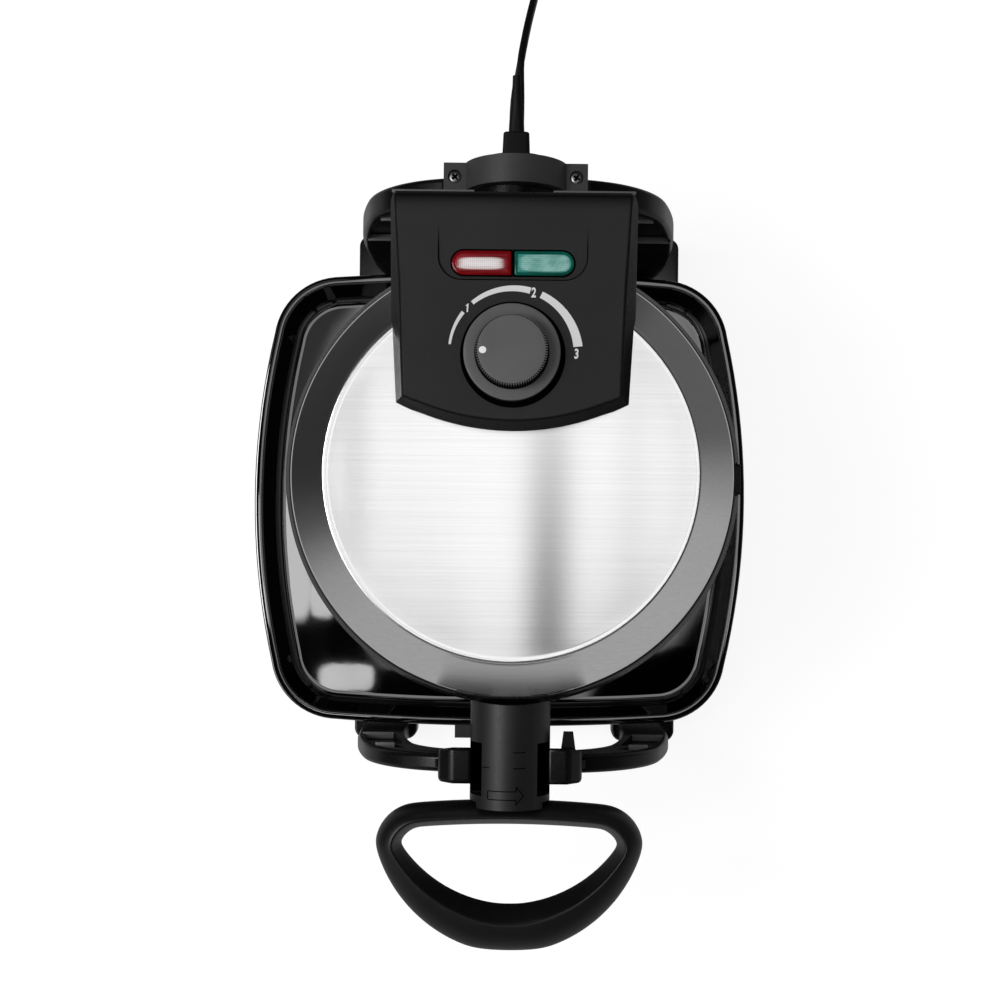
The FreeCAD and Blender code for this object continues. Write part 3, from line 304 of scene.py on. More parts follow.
def makeMouldGrain():
    # the fine spark-eroded grain of a moulded face, with slow flow marks and specks
    group, start, end = newGroup("mouldGrain", [("Grain Scale", 2600.0), ("Flow Scale", 28.0)],
                                 ["Grain", "Flow", "Speck"])
    place = group.nodes.new("ShaderNodeTexCoord").outputs["Object"]
    grain = noiseNode(group, place, start.outputs["Grain Scale"], 3.0, 0.55)
    flow = noiseNode(group, place, start.outputs["Flow Scale"], 3.0)
    speck = noiseNode(group, place, mathNode(group, "MULTIPLY", start.outputs["Grain Scale"], 0.3), 1.0)
    for label, value in (("Grain", grain), ("Flow", flow), ("Speck", speck)):
        group.links.new(value, end.inputs[label])
    return group


def makeBrushLines():
    # long fine scratches along X, in two widths, and slow clouds
    group, start, end = newGroup("brushLines", [("Along", 9.0), ("Across", 2400.0)],
                                 ["Fine", "Broad", "Cloud"])
    place = group.nodes.new("ShaderNodeTexCoord").outputs["Object"]

    def stretched(acrossShare, alongShare):
        combine = group.nodes.new("ShaderNodeCombineXYZ")
        across = mathNode(group, "MULTIPLY", start.outputs["Across"], acrossShare)
        lengthwise = mathNode(group, "MULTIPLY", start.outputs["Along"], alongShare)
        group.links.new(lengthwise, combine.inputs["X"])
        group.links.new(across, combine.inputs["Y"])
        group.links.new(mathNode(group, "MULTIPLY", across, 0.4), combine.inputs["Z"])
        scaled = group.nodes.new("ShaderNodeVectorMath")
        scaled.operation = "MULTIPLY"
        group.links.new(place, scaled.inputs[0])
        group.links.new(combine.outputs[0], scaled.inputs[1])
        return noiseNode(group, scaled.outputs[0], 1.0, 2.0, 0.6)

    group.links.new(stretched(1.0, 1.0), end.inputs["Fine"])
    group.links.new(stretched(0.3, 0.8), end.inputs["Broad"])
    group.links.new(noiseNode(group, place, 16.0), end.inputs["Cloud"])
    return group


mouldGrain = makeMouldGrain()
brushLines = makeBrushLines()


# finishes

finishes = {}


def newFinish(name, metallic=0.0, specular=0.5, coat=0.0, coatRoughness=0.03):
    material = bpy.data.materials.new(name)
    material.use_nodes = True
    tree = material.node_tree
    shader = tree.nodes["Principled BSDF"]
    shader.inputs["Metallic"].default_value = metallic
    shader.inputs["Specular IOR Level"].default_value = specular
    shader.inputs["Coat Weight"].default_value = coat
    shader.inputs["Coat Roughness"].default_value = coatRoughness
    finishes[name] = material
    return tree, shader


def placeGroup(tree, group, **values):
    node = tree.nodes.new("ShaderNodeGroup")
    node.node_tree = group
    for label, value in values.items():
        node.inputs[label].default_value = value
    return node


def spread(tree, value, low, high, start=0.3, stop=0.7, curve="LINEAR"):
    node = tree.nodes.new("ShaderNodeMapRange")
    node.interpolation_type = curve
    node.inputs["From Min"].default_value = start
    node.inputs["From Max"].default_value = stop
    node.inputs["To Min"].default_value = low
    node.inputs["To Max"].default_value = high
    tree.links.new(value, node.inputs["Value"])
    return node.outputs["Result"]


def smoothStep(tree, value, zeroAt, oneAt):
    return spread(tree, value, 0.0, 1.0, zeroAt, oneAt, "SMOOTHSTEP")


def mixColours(tree, factor, first, second):
    node = tree.nodes.new("ShaderNodeMix")
    node.data_type = "RGBA"
    tree.links.new(factor, node.inputs["Factor"])
    for socket, colour in zip(node.inputs[6:8], (first, second)):
        feed(tree, socket, (*colour, 1) if isinstance(colour, tuple) else colour)
    return node.outputs[2]


def tone(tree, value, dark, light):
    return mixColours(tree, spread(tree, value, 0.0, 1.0), dark, light)


def bump(tree, shader, height, distance, strength):
    node = tree.nodes.new("ShaderNodeBump")
    node.inputs["Distance"].default_value = distance * unit
    node.inputs["Strength"].default_value = strength
    tree.links.new(height, node.inputs["Height"])
    tree.links.new(node.outputs["Normal"], shader.inputs["Normal"])


def mouldedFinish(name, dark, light, rough, grain=2600.0, depth=0.02, strength=0.35, specular=0.4,
                  sides=None, upright=(0.3, 0.7)):
    # the walls' colour is painted shade: where faces don't look up, they take this darker colour in place of
    # their own, as if shade fell on them
    tree, shader = newFinish(name, specular=specular)
    mould = placeGroup(tree, mouldGrain, **{"Grain Scale": grain})
    colour = tone(tree, mould.outputs["Flow"], dark, light)
    if sides:
        facing = tree.nodes.new("ShaderNodeSeparateXYZ")
        tree.links.new(tree.nodes.new("ShaderNodeTexCoord").outputs["Normal"], facing.inputs[0])
        colour = mixColours(tree, spread(tree, facing.outputs["Z"], 0.0, 1.0, *upright), sides, colour)
    tree.links.new(colour, shader.inputs["Base Color"])
    tree.links.new(spread(tree, mould.outputs["Speck"], *rough), shader.inputs["Roughness"])
    bump(tree, shader, mould.outputs["Grain"], depth, strength)


def enamelFinish(name, dark, light, rough, coat, ripple):
    # glossy black with the slow ripple of a poured coat
    tree, shader = newFinish(name, specular=1.0 if coat > 0.5 else 0.5, coat=coat)
    mould = placeGroup(tree, mouldGrain, **{"Grain Scale": 420.0, "Flow Scale": 46.0})
    tree.links.new(tone(tree, mould.outputs["Flow"], dark, light), shader.inputs["Base Color"])
    tree.links.new(spread(tree, mould.outputs["Speck"], *rough), shader.inputs["Roughness"])
    bump(tree, shader, mould.outputs["Flow"], ripple, 0.5)


brushing = {"broad": 0.65, "fine": 0.35, "depth": 0.002, "strength": 0.06}


def brushedFinish(name, dark, light, rough, along=9.0, across=2400.0, brushMap=""):
    # the scratches of either width share the colour; with a map, the gloss stretches across them
    tree, shader = newFinish(name, metallic=1.0)
    lines = placeGroup(tree, brushLines, Along=along, Across=across)
    mixed = mathNode(tree, "ADD", mathNode(tree, "MULTIPLY", lines.outputs["Broad"], brushing["broad"]),
                     mathNode(tree, "MULTIPLY", lines.outputs["Fine"], brushing["fine"]))
    tree.links.new(tone(tree, mixed, dark, light), shader.inputs["Base Color"])
    tree.links.new(spread(tree, lines.outputs["Cloud"], *rough), shader.inputs["Roughness"])
    bump(tree, shader, lines.outputs["Fine"], brushing["depth"], brushing["strength"])
    if brushMap:
        shader.inputs["Anisotropic"].default_value = 1.0
        tangent = tree.nodes.new("ShaderNodeTangent")
        tangent.direction_type = "UV_MAP"
        tangent.uv_map = brushMap
        tree.links.new(tangent.outputs[0], shader.inputs["Tangent"])


def glintMask(tree, place, core, ragged):
    # painted highlight: 1 in the middle of a lens, which is painted pale as if light glinted there, and 0 at
    # its border, with a ragged edge
    spot = tree.nodes.new("ShaderNodeSeparateXYZ")
    tree.links.new(place, spot.inputs[0])
    parts = []
    for letter, middle, half in zip("XY", core["middle"], core["half"]):
        away = mathNode(tree, "SUBTRACT", spot.outputs[letter], middle * unit)
        share = mathNode(tree, "ABSOLUTE", mathNode(tree, "DIVIDE", away, half * unit))
        parts.append(mathNode(tree, "POWER", share, 4.0))
    torn = mathNode(tree, "MULTIPLY", ragged, core["ragged"])
    reach = mathNode(tree, "ADD", mathNode(tree, "ADD", *parts), torn)
    full, none = core["fade"]
    return smoothStep(tree, reach, none, full)


lensMesh = {"turn": 45, "scale": 1700.0, "checks": 0.22, "streaks": 0.8, "depth": 0.04, "strength": 0.4}


def lensFinish(name, deep, bright, along, across, rough, core=None):
    # tinted plastic over a patterned reflector: a fine diamond mesh with streaks in it; given a core, the
    # middle is painted paler, a painted highlight
    tree, shader = newFinish(name, specular=0.15)
    place = tree.nodes.new("ShaderNodeTexCoord").outputs["Object"]
    turn = tree.nodes.new("ShaderNodeMapping")
    turn.inputs["Rotation"].default_value = (0, 0, math.radians(lensMesh["turn"]))
    tree.links.new(place, turn.inputs["Vector"])
    checks = tree.nodes.new("ShaderNodeTexChecker")
    checks.inputs["Scale"].default_value = lensMesh["scale"]
    tree.links.new(turn.outputs[0], checks.inputs["Vector"])
    lines = placeGroup(tree, brushLines, Along=along, Across=across)
    mixed = mathNode(tree, "ADD", mathNode(tree, "MULTIPLY", checks.outputs["Fac"], lensMesh["checks"]),
                     mathNode(tree, "MULTIPLY", lines.outputs["Broad"], lensMesh["streaks"]))
    colour = tone(tree, mixed, deep, bright)
    if core:
        mask = glintMask(tree, place, core, lines.outputs["Broad"])
        colour = mixColours(tree, mask, colour, tone(tree, mixed, *core["tones"]))
    tree.links.new(colour, shader.inputs["Base Color"])
    tree.links.new(spread(tree, lines.outputs["Cloud"], *rough), shader.inputs["Roughness"])
    bump(tree, shader, mixed, lensMesh["depth"], lensMesh["strength"])


def grey(value):
    return (value, value, value)


# the pale middles of the lenses are painted highlights
redGlint = {"middle": (-13.4, 85.7), "half": (11.2, 2.9), "ragged": 0.9, "fade": (0.6, 1.2),
           "tones": ((0.62, 0.50, 0.50), (0.95, 0.92, 0.92))}
greenGlint = {"middle": (13.4, 86.0), "half": (11.2, 3.8), "ragged": 0.4, "fade": (0.6, 1.25),
             "tones": ((0.08, 0.30, 0.26), (0.34, 0.60, 0.56))}


def makeFinishes():
    brushedFinish("lidSteel", grey(0.70), grey(0.77), (0.112, 0.124), 9.0, 4200.0, "brush")
    # the housing's walls are painted near-black, as painted shade
    mouldedFinish("panelBlack", grey(0.023), grey(0.027), (0.58, 0.68), specular=0.12, sides=grey(0.002),
                  upright=(0.72, 0.98))
    mouldedFinish("neckBlack", grey(0.008), grey(0.012), (0.40, 0.48), specular=0.33)
    mouldedFinish("bezelBlack", grey(0.002), grey(0.003), (0.24, 0.32), specular=0.25)
    mouldedFinish("capBlack", grey(0.036), grey(0.044), (0.46, 0.56), specular=0.35)
    mouldedFinish("gripBlack", grey(0.004), grey(0.006), (0.36, 0.43), specular=0.28)
    # the dial's walls and teeth sides are painted near-black, as painted shade
    mouldedFinish("dialBlack", grey(0.098), grey(0.124), (0.46, 0.56), 1500.0, 0.03, 0.4, 0.35, grey(0.001))
    mouldedFinish("archBlack", grey(0.002), grey(0.003), (0.27, 0.33), specular=0.22)
    enamelFinish("glossBlack", grey(0.001), grey(0.002), (0.08, 0.12), 0.2, 0.02)
    enamelFinish("trayEnamel", grey(0.0005), grey(0.001), (0.015, 0.025), 1.0, 0.02)
    mouldedFinish("footRubber", grey(0.012), grey(0.016), (0.70, 0.80), specular=0.3)
    mouldedFinish("cordRubber", grey(0.002), grey(0.003), (0.46, 0.56), specular=0.2)
    mouldedFinish("nonStick", grey(0.018), grey(0.026), (0.36, 0.48), 1500.0, 0.02, 0.3, 0.5)
    mouldedFinish("inkWhite", grey(0.90), grey(0.94), (0.50, 0.60), specular=0.3)
    mouldedFinish("scaleInk", grey(0.74), grey(0.82), (0.55, 0.65), specular=0.2)
    mouldedFinish("innerMoulding", (0.50, 0.48, 0.44), (0.56, 0.54, 0.50), (0.45, 0.55))
    # a near-black for painted shade, laid in grooves, gaps, notches and recesses where shade falls
    mouldedFinish("paintedShade", grey(0.0005), grey(0.001), (0.60, 0.70), specular=0.0)
    brushedFinish("zincPin", grey(0.50), grey(0.60), (0.25, 0.35), 40.0, 900.0)
    brushedFinish("darkScrew", grey(0.20), grey(0.28), (0.34, 0.44), 300.0, 900.0)
    brushedFinish("sheetMetal", grey(0.60), grey(0.68), (0.35, 0.42), 12.0, 1500.0)
    brushedFinish("heaterTube", (0.16, 0.15, 0.14), (0.24, 0.22, 0.20), (0.40, 0.55), 120.0, 400.0)
    brushedFinish("bladeBrass", (0.72, 0.58, 0.32), (0.80, 0.67, 0.40), (0.22, 0.32), 30.0, 900.0)
    lensFinish("redRim", (0.05, 0.0005, 0.001), (0.22, 0.003, 0.006), 60.0, 300.0, (0.10, 0.18))
    lensFinish("redPanel", (0.10, 0.001, 0.002), (0.40, 0.03, 0.04), 40.0, 1400.0, (0.25, 0.35), redGlint)
    lensFinish("greenRim", (0.001, 0.025, 0.02), (0.004, 0.12, 0.085), 60.0, 300.0, (0.08, 0.14))
    lensFinish("greenPanel", (0.005, 0.10, 0.08), (0.06, 0.34, 0.29), 200.0, 900.0, (0.25, 0.35), greenGlint)


makeFinishes()
print("finishes made,", len(finishes))


# camera, light and floor

# it looks straight down, and the point below it isn't in the middle of the frame
camera = {"place": (10, -37.1, 790), "focalPixels": 1396, "below": (533.9, 560), "rollDegrees": 0.6,
          "frame": 1000}


def addCamera(spec):
    lens = bpy.data.cameras.new("camera")
    lens.sensor_width = 36
    lens.lens = spec["focalPixels"] / spec["frame"] * lens.sensor_width
    lens.clip_start = 0.01
    lens.shift_x = 0.5 - spec["below"][0] / spec["frame"]
    lens.shift_y = spec["below"][1] / spec["frame"] - 0.5
    eye = addObject("camera", lens)
    eye.location = Vector(spec["place"]) * unit
    eye.rotation_euler = (0, 0, math.radians(spec["rollDegrees"]))
    scene.camera = eye


addCamera(camera)

# one panel casts the shadows; the studio shows only in gloss: cards overhead, placed by how far they lean
# from the zenith to the right and to the rear, walls by compass degrees counted from the right, and a dim
# sky between the two
keyPanel = {"place": (-0.75, 0.05, 1.25), "aim": (0, 0, 0.15), "size": 0.5, "power": 8.0}
studio = {
    "backdrop": 1.0, "roomLevel": 0.41, "dusk": 0.012,
    "cards": {
        "lidBox": {"lean": (-0.0114, 0.067), "half": (0.152, 0.182),
                   "edge": 0.06, "level": 1.43, "power": 2},
        "trayShadeRight": {"lean": (0.088, -0.097), "half": (0.048, 0.032),
                           "edge": 0.25, "level": -1.6, "power": 2},
        "trayShadeLeft": {"lean": (-0.083, -0.102), "half": (0.036, 0.024),
                          "edge": 0.25, "level": -1.6, "power": 2},
        "lidShade": {"lean": (0.0106, -0.13), "half": (0.0155, 0.19),
                     "edge": 0.85, "level": -1.36, "power": 2},
        "lidShadeRight": {"lean": (0.0696, 0.05), "half": (0.009, 0.16),
                          "edge": 0.9, "level": -0.16, "power": 2},
        "lidShadeLeft": {"lean": (-0.1294, 0.03), "half": (0.010, 0.18),
                         "edge": 0.9, "level": -0.45, "power": 2},
        "leftStrip": {"lean": (-0.1764, 0.0), "half": (0.017, 0.045),
                      "edge": 0.10, "level": 4.2, "power": 6},
        "leftCorner": {"lean": (-0.1509, -0.028), "half": (0.0085, 0.015),
                       "edge": 0.12, "level": 4.2, "power": 4},
        "cornerCard": {"lean": (-0.1334, -0.0855), "half": (0.0195, 0.0098),
                       "edge": 0.10, "level": 4.4, "power": 4},
        "rearCard": {"lean": (-0.1564, 0.17), "half": (0.05, 0.075),
                     "edge": 0.2, "level": 0.22, "power": 6},
        "rightCard": {"lean": (0.1386, -0.03), "half": (0.008, 0.03),
                      "edge": 0.3, "level": 4.0, "power": 6},
        "handleBank": {"lean": (-2.2, -0.9), "half": (0.9, 0.7), "edge": 0.4, "level": 1.2, "power": 2},
        "leftBank": {"lean": (-0.75, -0.15), "half": (0.30, 0.35), "edge": 0.3, "level": 3.2, "power": 6},
        "rightBank": {"lean": (0.95, -0.10), "half": (0.12, 0.50), "edge": 0.3, "level": 0.2, "power": 6},
        "frontBank": {"lean": (0.0, -0.80), "half": (0.70, 0.12), "edge": 0.3, "level": 0.5, "power": 6},
    },
    "walls": [(-180, 0.025), (-168, 0.09), (-154, 0.36), (-140, 0.42), (-40, 0.45), (-8, 0.42), (6, 0.25),
              (14, 0.12), (50, 0.11), (62, 0.03), (130, 0.015), (180, 0.025)],
    "wallTop": (0.16, 0.36),
    "sky": {"level": 0.12, "rise": (0.22, 0.42), "fall": (0.70, 0.56)},
}


def addKey(spec):
    light = bpy.data.lights.new("keyPanel", "AREA")
    light.size = spec["size"]
    light.energy = spec["power"]
    lamp = addObject("keyPanel", light)
    lamp.location = spec["place"]
    lamp.rotation_euler = (Vector(spec["aim"]) - Vector(spec["place"])).to_track_quat("-Z", "Y").to_euler()


addKey(keyPanel)


def makeStudio(spec):
    world = bpy.data.worlds.new("studio")
    scene.world = world
    world.use_nodes = True
    tree = world.node_tree
    heading = tree.nodes.new("ShaderNodeSeparateXYZ")
    tree.links.new(tree.nodes.new("ShaderNodeTexCoord").outputs["Generated"], heading.inputs[0])
    x, y, z = (heading.outputs[letter] for letter in "XYZ")
    height = mathNode(tree, "MAXIMUM", z, 0.02)
    leans = (mathNode(tree, "DIVIDE", x, height), mathNode(tree, "DIVIDE", y, height))

    def cardLight(card):
        parts = []
        for lean, middle, half in zip(leans, card["lean"], card["half"]):
            away = mathNode(tree, "DIVIDE", mathNode(tree, "SUBTRACT", lean, middle), half)
            parts.append(mathNode(tree, "POWER", mathNode(tree, "ABSOLUTE", away), card["power"]))
        reach = mathNode(tree, "POWER", mathNode(tree, "ADD", *parts), 1 / card["power"])
        mask = smoothStep(tree, reach, 1 + card["edge"], 1 - card["edge"])
        return mathNode(tree, "MULTIPLY", mask, card["level"])

    total = spec["dusk"]
    for card in spec["cards"].values():
        total = mathNode(tree, "ADD", total, cardLight(card))
    compass = mathNode(tree, "DIVIDE", mathNode(tree, "ARCTAN2", y, x), 2 * math.pi)
    walls = tree.nodes.new("ShaderNodeValToRGB")
    stops = walls.color_ramp.elements
    first, *between, last = spec["walls"]
    for stop, (degrees, level) in zip(stops, (first, last)):
        stop.position = (degrees + 180) / 360
        stop.color = (*grey(level), 1)
    for degrees, level in between:
        stops.new((degrees + 180) / 360).color = (*grey(level), 1)
    tree.links.new(mathNode(tree, "ADD", compass, 0.5), walls.inputs["Fac"])

    full, none = spec["wallTop"]
    wall = mathNode(tree, "MULTIPLY", walls.outputs["Color"], smoothStep(tree, z, none, full))
    rise, fall = (smoothStep(tree, z, *spec["sky"][name]) for name in ("rise", "fall"))
    sky = mathNode(tree, "MULTIPLY", mathNode(tree, "MULTIPLY", rise, fall), spec["sky"]["level"])
    around = mathNode(tree, "ADD", wall, sky)
    gloss = mathNode(tree, "MAXIMUM", mathNode(tree, "ADD", total, around), 0.0)
    rays = tree.nodes.new("ShaderNodeLightPath")
    seen = mathNode(tree, "MAXIMUM", rays.outputs["Is Camera Ray"], rays.outputs["Is Transmission Ray"])
    level = spec["roomLevel"]
    for mask, value in ((rays.outputs["Is Glossy Ray"], gloss), (seen, spec["backdrop"])):
        blend = tree.nodes.new("ShaderNodeMix")
        feed(tree, blend.inputs["Factor"], mask)
        feed(tree, blend.inputs[2], level)
        feed(tree, blend.inputs[3], value)
        level = blend.outputs[0]
    tree.links.new(level, tree.nodes["Background"].inputs["Strength"])
    tree.nodes["Background"].inputs["Color"].default_value = (1, 1, 1, 1)


makeStudio(studio)


floor = {"radius": 0.47, "corners": 96, "pale": 0.26, "glow": 0.86, "glossShare": 0.30}


def makeFloor(spec):
    tree, shader = newFinish("paleFloor", specular=0.0)
    shader.inputs["Base Color"].default_value = (*grey(spec["pale"]), 1)
    shader.inputs["Roughness"].default_value = 1.0
    glow = tree.nodes.new("ShaderNodeEmission")
    rays = tree.nodes.new("ShaderNodeLightPath")
    gloss = mathNode(tree, "MULTIPLY", rays.outputs["Is Glossy Ray"], spec["glossShare"])
    seen = mathNode(tree, "MAXIMUM", rays.outputs["Is Camera Ray"],
                    mathNode(tree, "MAXIMUM", gloss, rays.outputs["Is Transmission Ray"]))
    tree.links.new(mathNode(tree, "MULTIPLY", seen, spec["glow"]), glow.inputs["Strength"])
    both = tree.nodes.new("ShaderNodeAddShader")
    tree.links.new(shader.outputs[0], both.inputs[0])
    tree.links.new(glow.outputs[0], both.inputs[1])
    tree.links.new(both.outputs[0], tree.nodes["Material Output"].inputs["Surface"])
    mesh = bpy.data.meshes.new("floor")
    rim = [(x, y, 0) for x, y in circlePoints((0, 0), spec["radius"], spec["corners"])]
    mesh.from_pydata(rim, [], [tuple(range(spec["corners"]))])
    mesh.materials.append(finishes["paleFloor"])
    addObject("floor", mesh)


makeFloor(floor)
print("camera, light and floor set")


# mains lead, with its strain relief, coil tie and plug

mainsCord = {
    "wide": 6.8, "thick": 3.5, "exit": (0, 156.8, 150),
    "lead": [(0, 156.8, 150), (0, 182, 150), (4, 209, 142.5), (8.5, 234, 126), (10, 253, 102),
             (10.5, 268, 74), (10.5, 284, 46), (10, 303, 22), (10, 322, 8.6), (10, 341, 3.8), (10, 358, 3.8)],
    "coilCentre": (-36, 365), "coilRadius": 46.0, "pitch": 9.0, "layer": 7.8, "low": 3.8,
    "turns": 2.5, "pointsPerTurn": 24, "turnAbout": 1.25, "climbTurns": 0.5, "tail": 30.0,
    "twistFrom": 4.0, "twistLong": 36.0, "pinch": 0.2, "pinchWide": 0.7,
}


def coilPoint(spec, turns):
    inward = min(turns, spec["turnAbout"]) - max(turns - spec["turnAbout"], 0)
    climb = (turns - spec["turnAbout"] + spec["climbTurns"] / 2) / spec["climbTurns"]
    height = spec["low"] + spec["layer"] * ease(climb)
    radius = spec["coilRadius"] - spec["pitch"] * inward
    angle = 2 * math.pi * turns
    return Vector((spec["coilCentre"][0] + radius * math.cos(angle),
                   spec["coilCentre"][1] + radius * math.sin(angle), height))


def routePoints(spec):
    points = [Vector(point) for point in spec["lead"]]
    count = int(spec["turns"] * spec["pointsPerTurn"])
    points += [coilPoint(spec, step / spec["pointsPerTurn"]) for step in range(count + 1)]
    nudge = 0.0005
    heading = (coilPoint(spec, spec["turns"] + nudge) - coilPoint(spec, spec["turns"] - nudge)).normalized()
    points += [points[-1] + heading * spec["tail"] * share for share in (0.4, 1.0)]
    return points


def splinePath(points):
    curve = bpy.data.curves.new("leadLine", "CURVE")
    curve.dimensions = "3D"
    spline = curve.splines.new("NURBS")
    spline.points.add(len(points) - 1)
    for target, point in zip(spline.points, points):
        target.co = (*(point * unit), 1)
    spline.order_u = 3
    spline.use_endpoint_u = True
    spline.resolution_u = 8
    guide = addObject("leadLine", curve)
    path = [vertex.co.copy() for vertex in finalMesh(guide).vertices]
    bpy.data.objects.remove(guide)
    return path


def leadSection(spec, count=24):
    # two round cores side by side, pinched between
    core = spec["thick"] / 2
    reach = spec["wide"] / 2 - core
    section = []
    for step in range(count):
        angle = 2 * math.pi * step / count
        across = math.cos(angle)
        side = reach * max(-1, min(1, across * 2.0)) + core * across
        pinch = 1 - spec["pinch"] * math.exp(-(side / spec["pinchWide"]) ** 2)
        section.append((side, core * math.sin(angle) * pinch))
    return section


def leadFrames(path, spec):
    # the lead's place, its wide and narrow directions and the length gone, along the path
    frames, gone = [], 0.0
    for index, point in enumerate(path):
        heading = (path[min(index + 1, len(path) - 1)] - path[max(index - 1, 0)]).normalized()
        if index:
            gone += (point - path[index - 1]).length / unit
        narrow = heading.cross(Vector((0, 0, 1))).normalized()
        upright = narrow.cross(heading).normalized()
        twist = math.radians(90) * (1 - ease((gone - spec["twistFrom"]) / spec["twistLong"]))
        wide = upright * math.cos(twist) + narrow * math.sin(twist)
        frames.append((point / unit, wide, heading.cross(wide), gone))
    return frames


def makeCord(spec):
    path = splinePath(routePoints(spec))
    frames = leadFrames(path, spec)
    section = leadSection(spec)
    rings = [[place + wide * a + flat * b for a, b in section] for place, wide, flat, _ in frames]
    cord = stackRings("mainsLead", rings, closed=True, degrees=60)
    dress(cord, "cordRubber", "stand", "cord_rubber", "power_cord", "cord_coil")
    print("lead length mm", round(frames[-1][3], 1))
    return cord, path, frames[-1][3]


mainsLead, leadPath, leadLength = makeCord(mainsCord)

strainRelief = {"plate": 17.0, "plateFrom": 142.5, "plateThick": 2.5, "plateRound": 0.6, "blockTo": 157.6,
                "blockHalf": 6.1, "blockShares": (1.04, 0.97, 0.90), "blockCorner": 1.6,
                "noseTo": 184.0, "noseHalf": (3.6, 2.7), "tipHalf": (2.0, 3.55), "noseSteps": 20}


def boxRing(halfX, halfZ, y, corner, steps=6):
    # an upright rounded rectangle across the lead
    ring = []
    for quarter, (sideX, sideZ) in enumerate(((1, 1), (-1, 1), (-1, -1), (1, -1))):
        for step in range(steps + 1):
            angle = math.radians(90) * (quarter + step / steps)
            ring.append((sideX * (halfX - corner) + corner * math.cos(angle), y,
                         axisHeight + sideZ * (halfZ - corner) + corner * math.sin(angle)))
    return ring


def makeStrainRelief(spec):
    back, half = spec["plateFrom"] + spec["plateThick"], spec["blockHalf"]
    plate = roundedProfile([(axisGap, 0), (spec["plate"], 0),
                            (spec["plate"], spec["plateThick"], spec["plateRound"]),
                            (axisGap, spec["plateThick"])])
    turned = [[(x, spec["plateFrom"] + height, z) for x, z in circlePoints((0, axisHeight), radius, 96)]
              for radius, height in plate]
    foot, rear, end = spec["blockShares"]
    rings = [boxRing(half * share, half * share, y, spec["blockCorner"]) for share, y in
             ((foot, back - 0.5), (foot, back + 1), (rear, spec["blockTo"] - 0.6), (end, spec["blockTo"]))]
    for step in range(spec["noseSteps"] + 1):
        share = step / spec["noseSteps"]
        blend = ease(share)
        halfX, halfZ = (near * (1 - blend) + far * blend
                        for near, far in zip(spec["noseHalf"], spec["tipHalf"]))
        y = spec["blockTo"] + (spec["noseTo"] - spec["blockTo"]) * share
        rings.append(boxRing(halfX, halfZ, y, min(halfX, halfZ) * 0.9))
    piece = joinInto(stackRings("strainRelief", turned), stackRings("nose", rings, closed=True))
    shadeByAngle(piece.data, 32)
    return dress(piece, "cordRubber", "stand", "black_moulding", "cord_gland")


makeStrainRelief(strainRelief)

coilTie = {"turns": 0.75, "wide": 7.0, "thick": 0.45, "gap": 0.1, "bend": 1.2, "bendSteps": 6,
           "ends": {"long": 9.0, "wide": 1.5, "waist": 0.9, "thick": 0.35, "lift": 0.7, "rise": 0.5,
                    "halfTurns": 3, "steps": 14, "squash": 0.4}}


def twistRings(spec, middle, outward, along, top):
    # the tie's ends twisted together, narrower and higher in the middle
    rings = []
    for step in range(spec["steps"] + 1):
        share = step / spec["steps"]
        turn = math.pi * spec["halfTurns"] * share
        wide, flat = spec["wide"] - spec["waist"] * math.sin(math.pi * share), spec["thick"]
        lift = top + spec["lift"] + spec["rise"] * math.sin(math.pi * share)
        centre = middle + outward * (spec["long"] * (share - 0.5)) + Vector((0, 0, lift))
        ring = []
        for a, b in ((1, 1), (-1, 1), (-1, -1), (1, -1)):
            upward = a * wide * math.sin(turn) * spec["squash"] + b * flat * math.cos(turn)
            sideways = a * wide * math.cos(turn) - b * flat * math.sin(turn)
            ring.append(centre + along * sideways + Vector((0, 0, upward)))
        rings.append(ring)
    return rings


def makeCoilTie(spec, cordSpec):
    # a flat band round the stacked turns, with its ends on top
    low, high = coilPoint(cordSpec, spec["turns"]), coilPoint(cordSpec, spec["turns"] + 1)
    angle = 2 * math.pi * spec["turns"]
    outward = Vector((math.cos(angle), math.sin(angle), 0))
    along = Vector((-math.sin(angle), math.cos(angle), 0))
    half = cordSpec["thick"] / 2 + spec["gap"]
    bottom = low.z - cordSpec["wide"] / 2 - spec["gap"]
    top = high.z + cordSpec["wide"] / 2 + spec["gap"]
    middle = Vector(((low.x + high.x) / 2, (low.y + high.y) / 2, 0))
    bend, steps = spec["bend"], spec["bendSteps"]
    loop = []
    for corner, (sideways, upward) in enumerate(((1, 1), (-1, 1), (-1, -1), (1, -1))):
        for step in range(steps + 1):
            turn = math.radians(90) * (corner + step / steps)
            level = top - bend if upward > 0 else bottom + bend
            across = sideways * (half - bend) + bend * math.cos(turn)
            loop.append((across, level + bend * math.sin(turn), upward))
    rings = []
    for side, deep in ((-1, 0), (1, 0), (1, 1), (-1, 1)):
        thick = deep * spec["thick"]
        rings.append([middle + outward * across * (1 + thick / half) + along * side * spec["wide"] / 2
                      + Vector((0, 0, level + (thick if upward > 0 else -0.5 * thick)))
                      for across, level, upward in loop])
    band = stackRings("coilTie", rings)
    twist = twistRings(spec["ends"], middle, outward, along, top)
    piece = joinInto(band, stackRings("twist", twist, closed=True))
    return dress(piece, "gripBlack", "stand", "plug_black")


makeCoilTie(coilTie, mainsCord)
print("lead, strain relief and tie made")


# steel covers

cover = {"radius": 98.4, "lip": 166.0, "knee": 172.0, "flat": 81.2, "top": 190.0, "sheet": 0.8, "bead": 1.5,
         "crest": 0.3, "sink": 0.25, "inward": 7.0, "halfway": 40.0, "kneeDrop": 0.4}


def addBrushMap(piece):
    # a flat map from above, its first direction across the brushing, which runs along X
    mesh, perMetre, middle = piece.data, 4, 0.5
    layer = mesh.uv_layers.new(name="brush")
    for loop in mesh.loops:
        place = mesh.vertices[loop.vertex_index].co
        layer.data[loop.index].uv = (place.y * perMetre + middle, middle - place.x * perMetre)


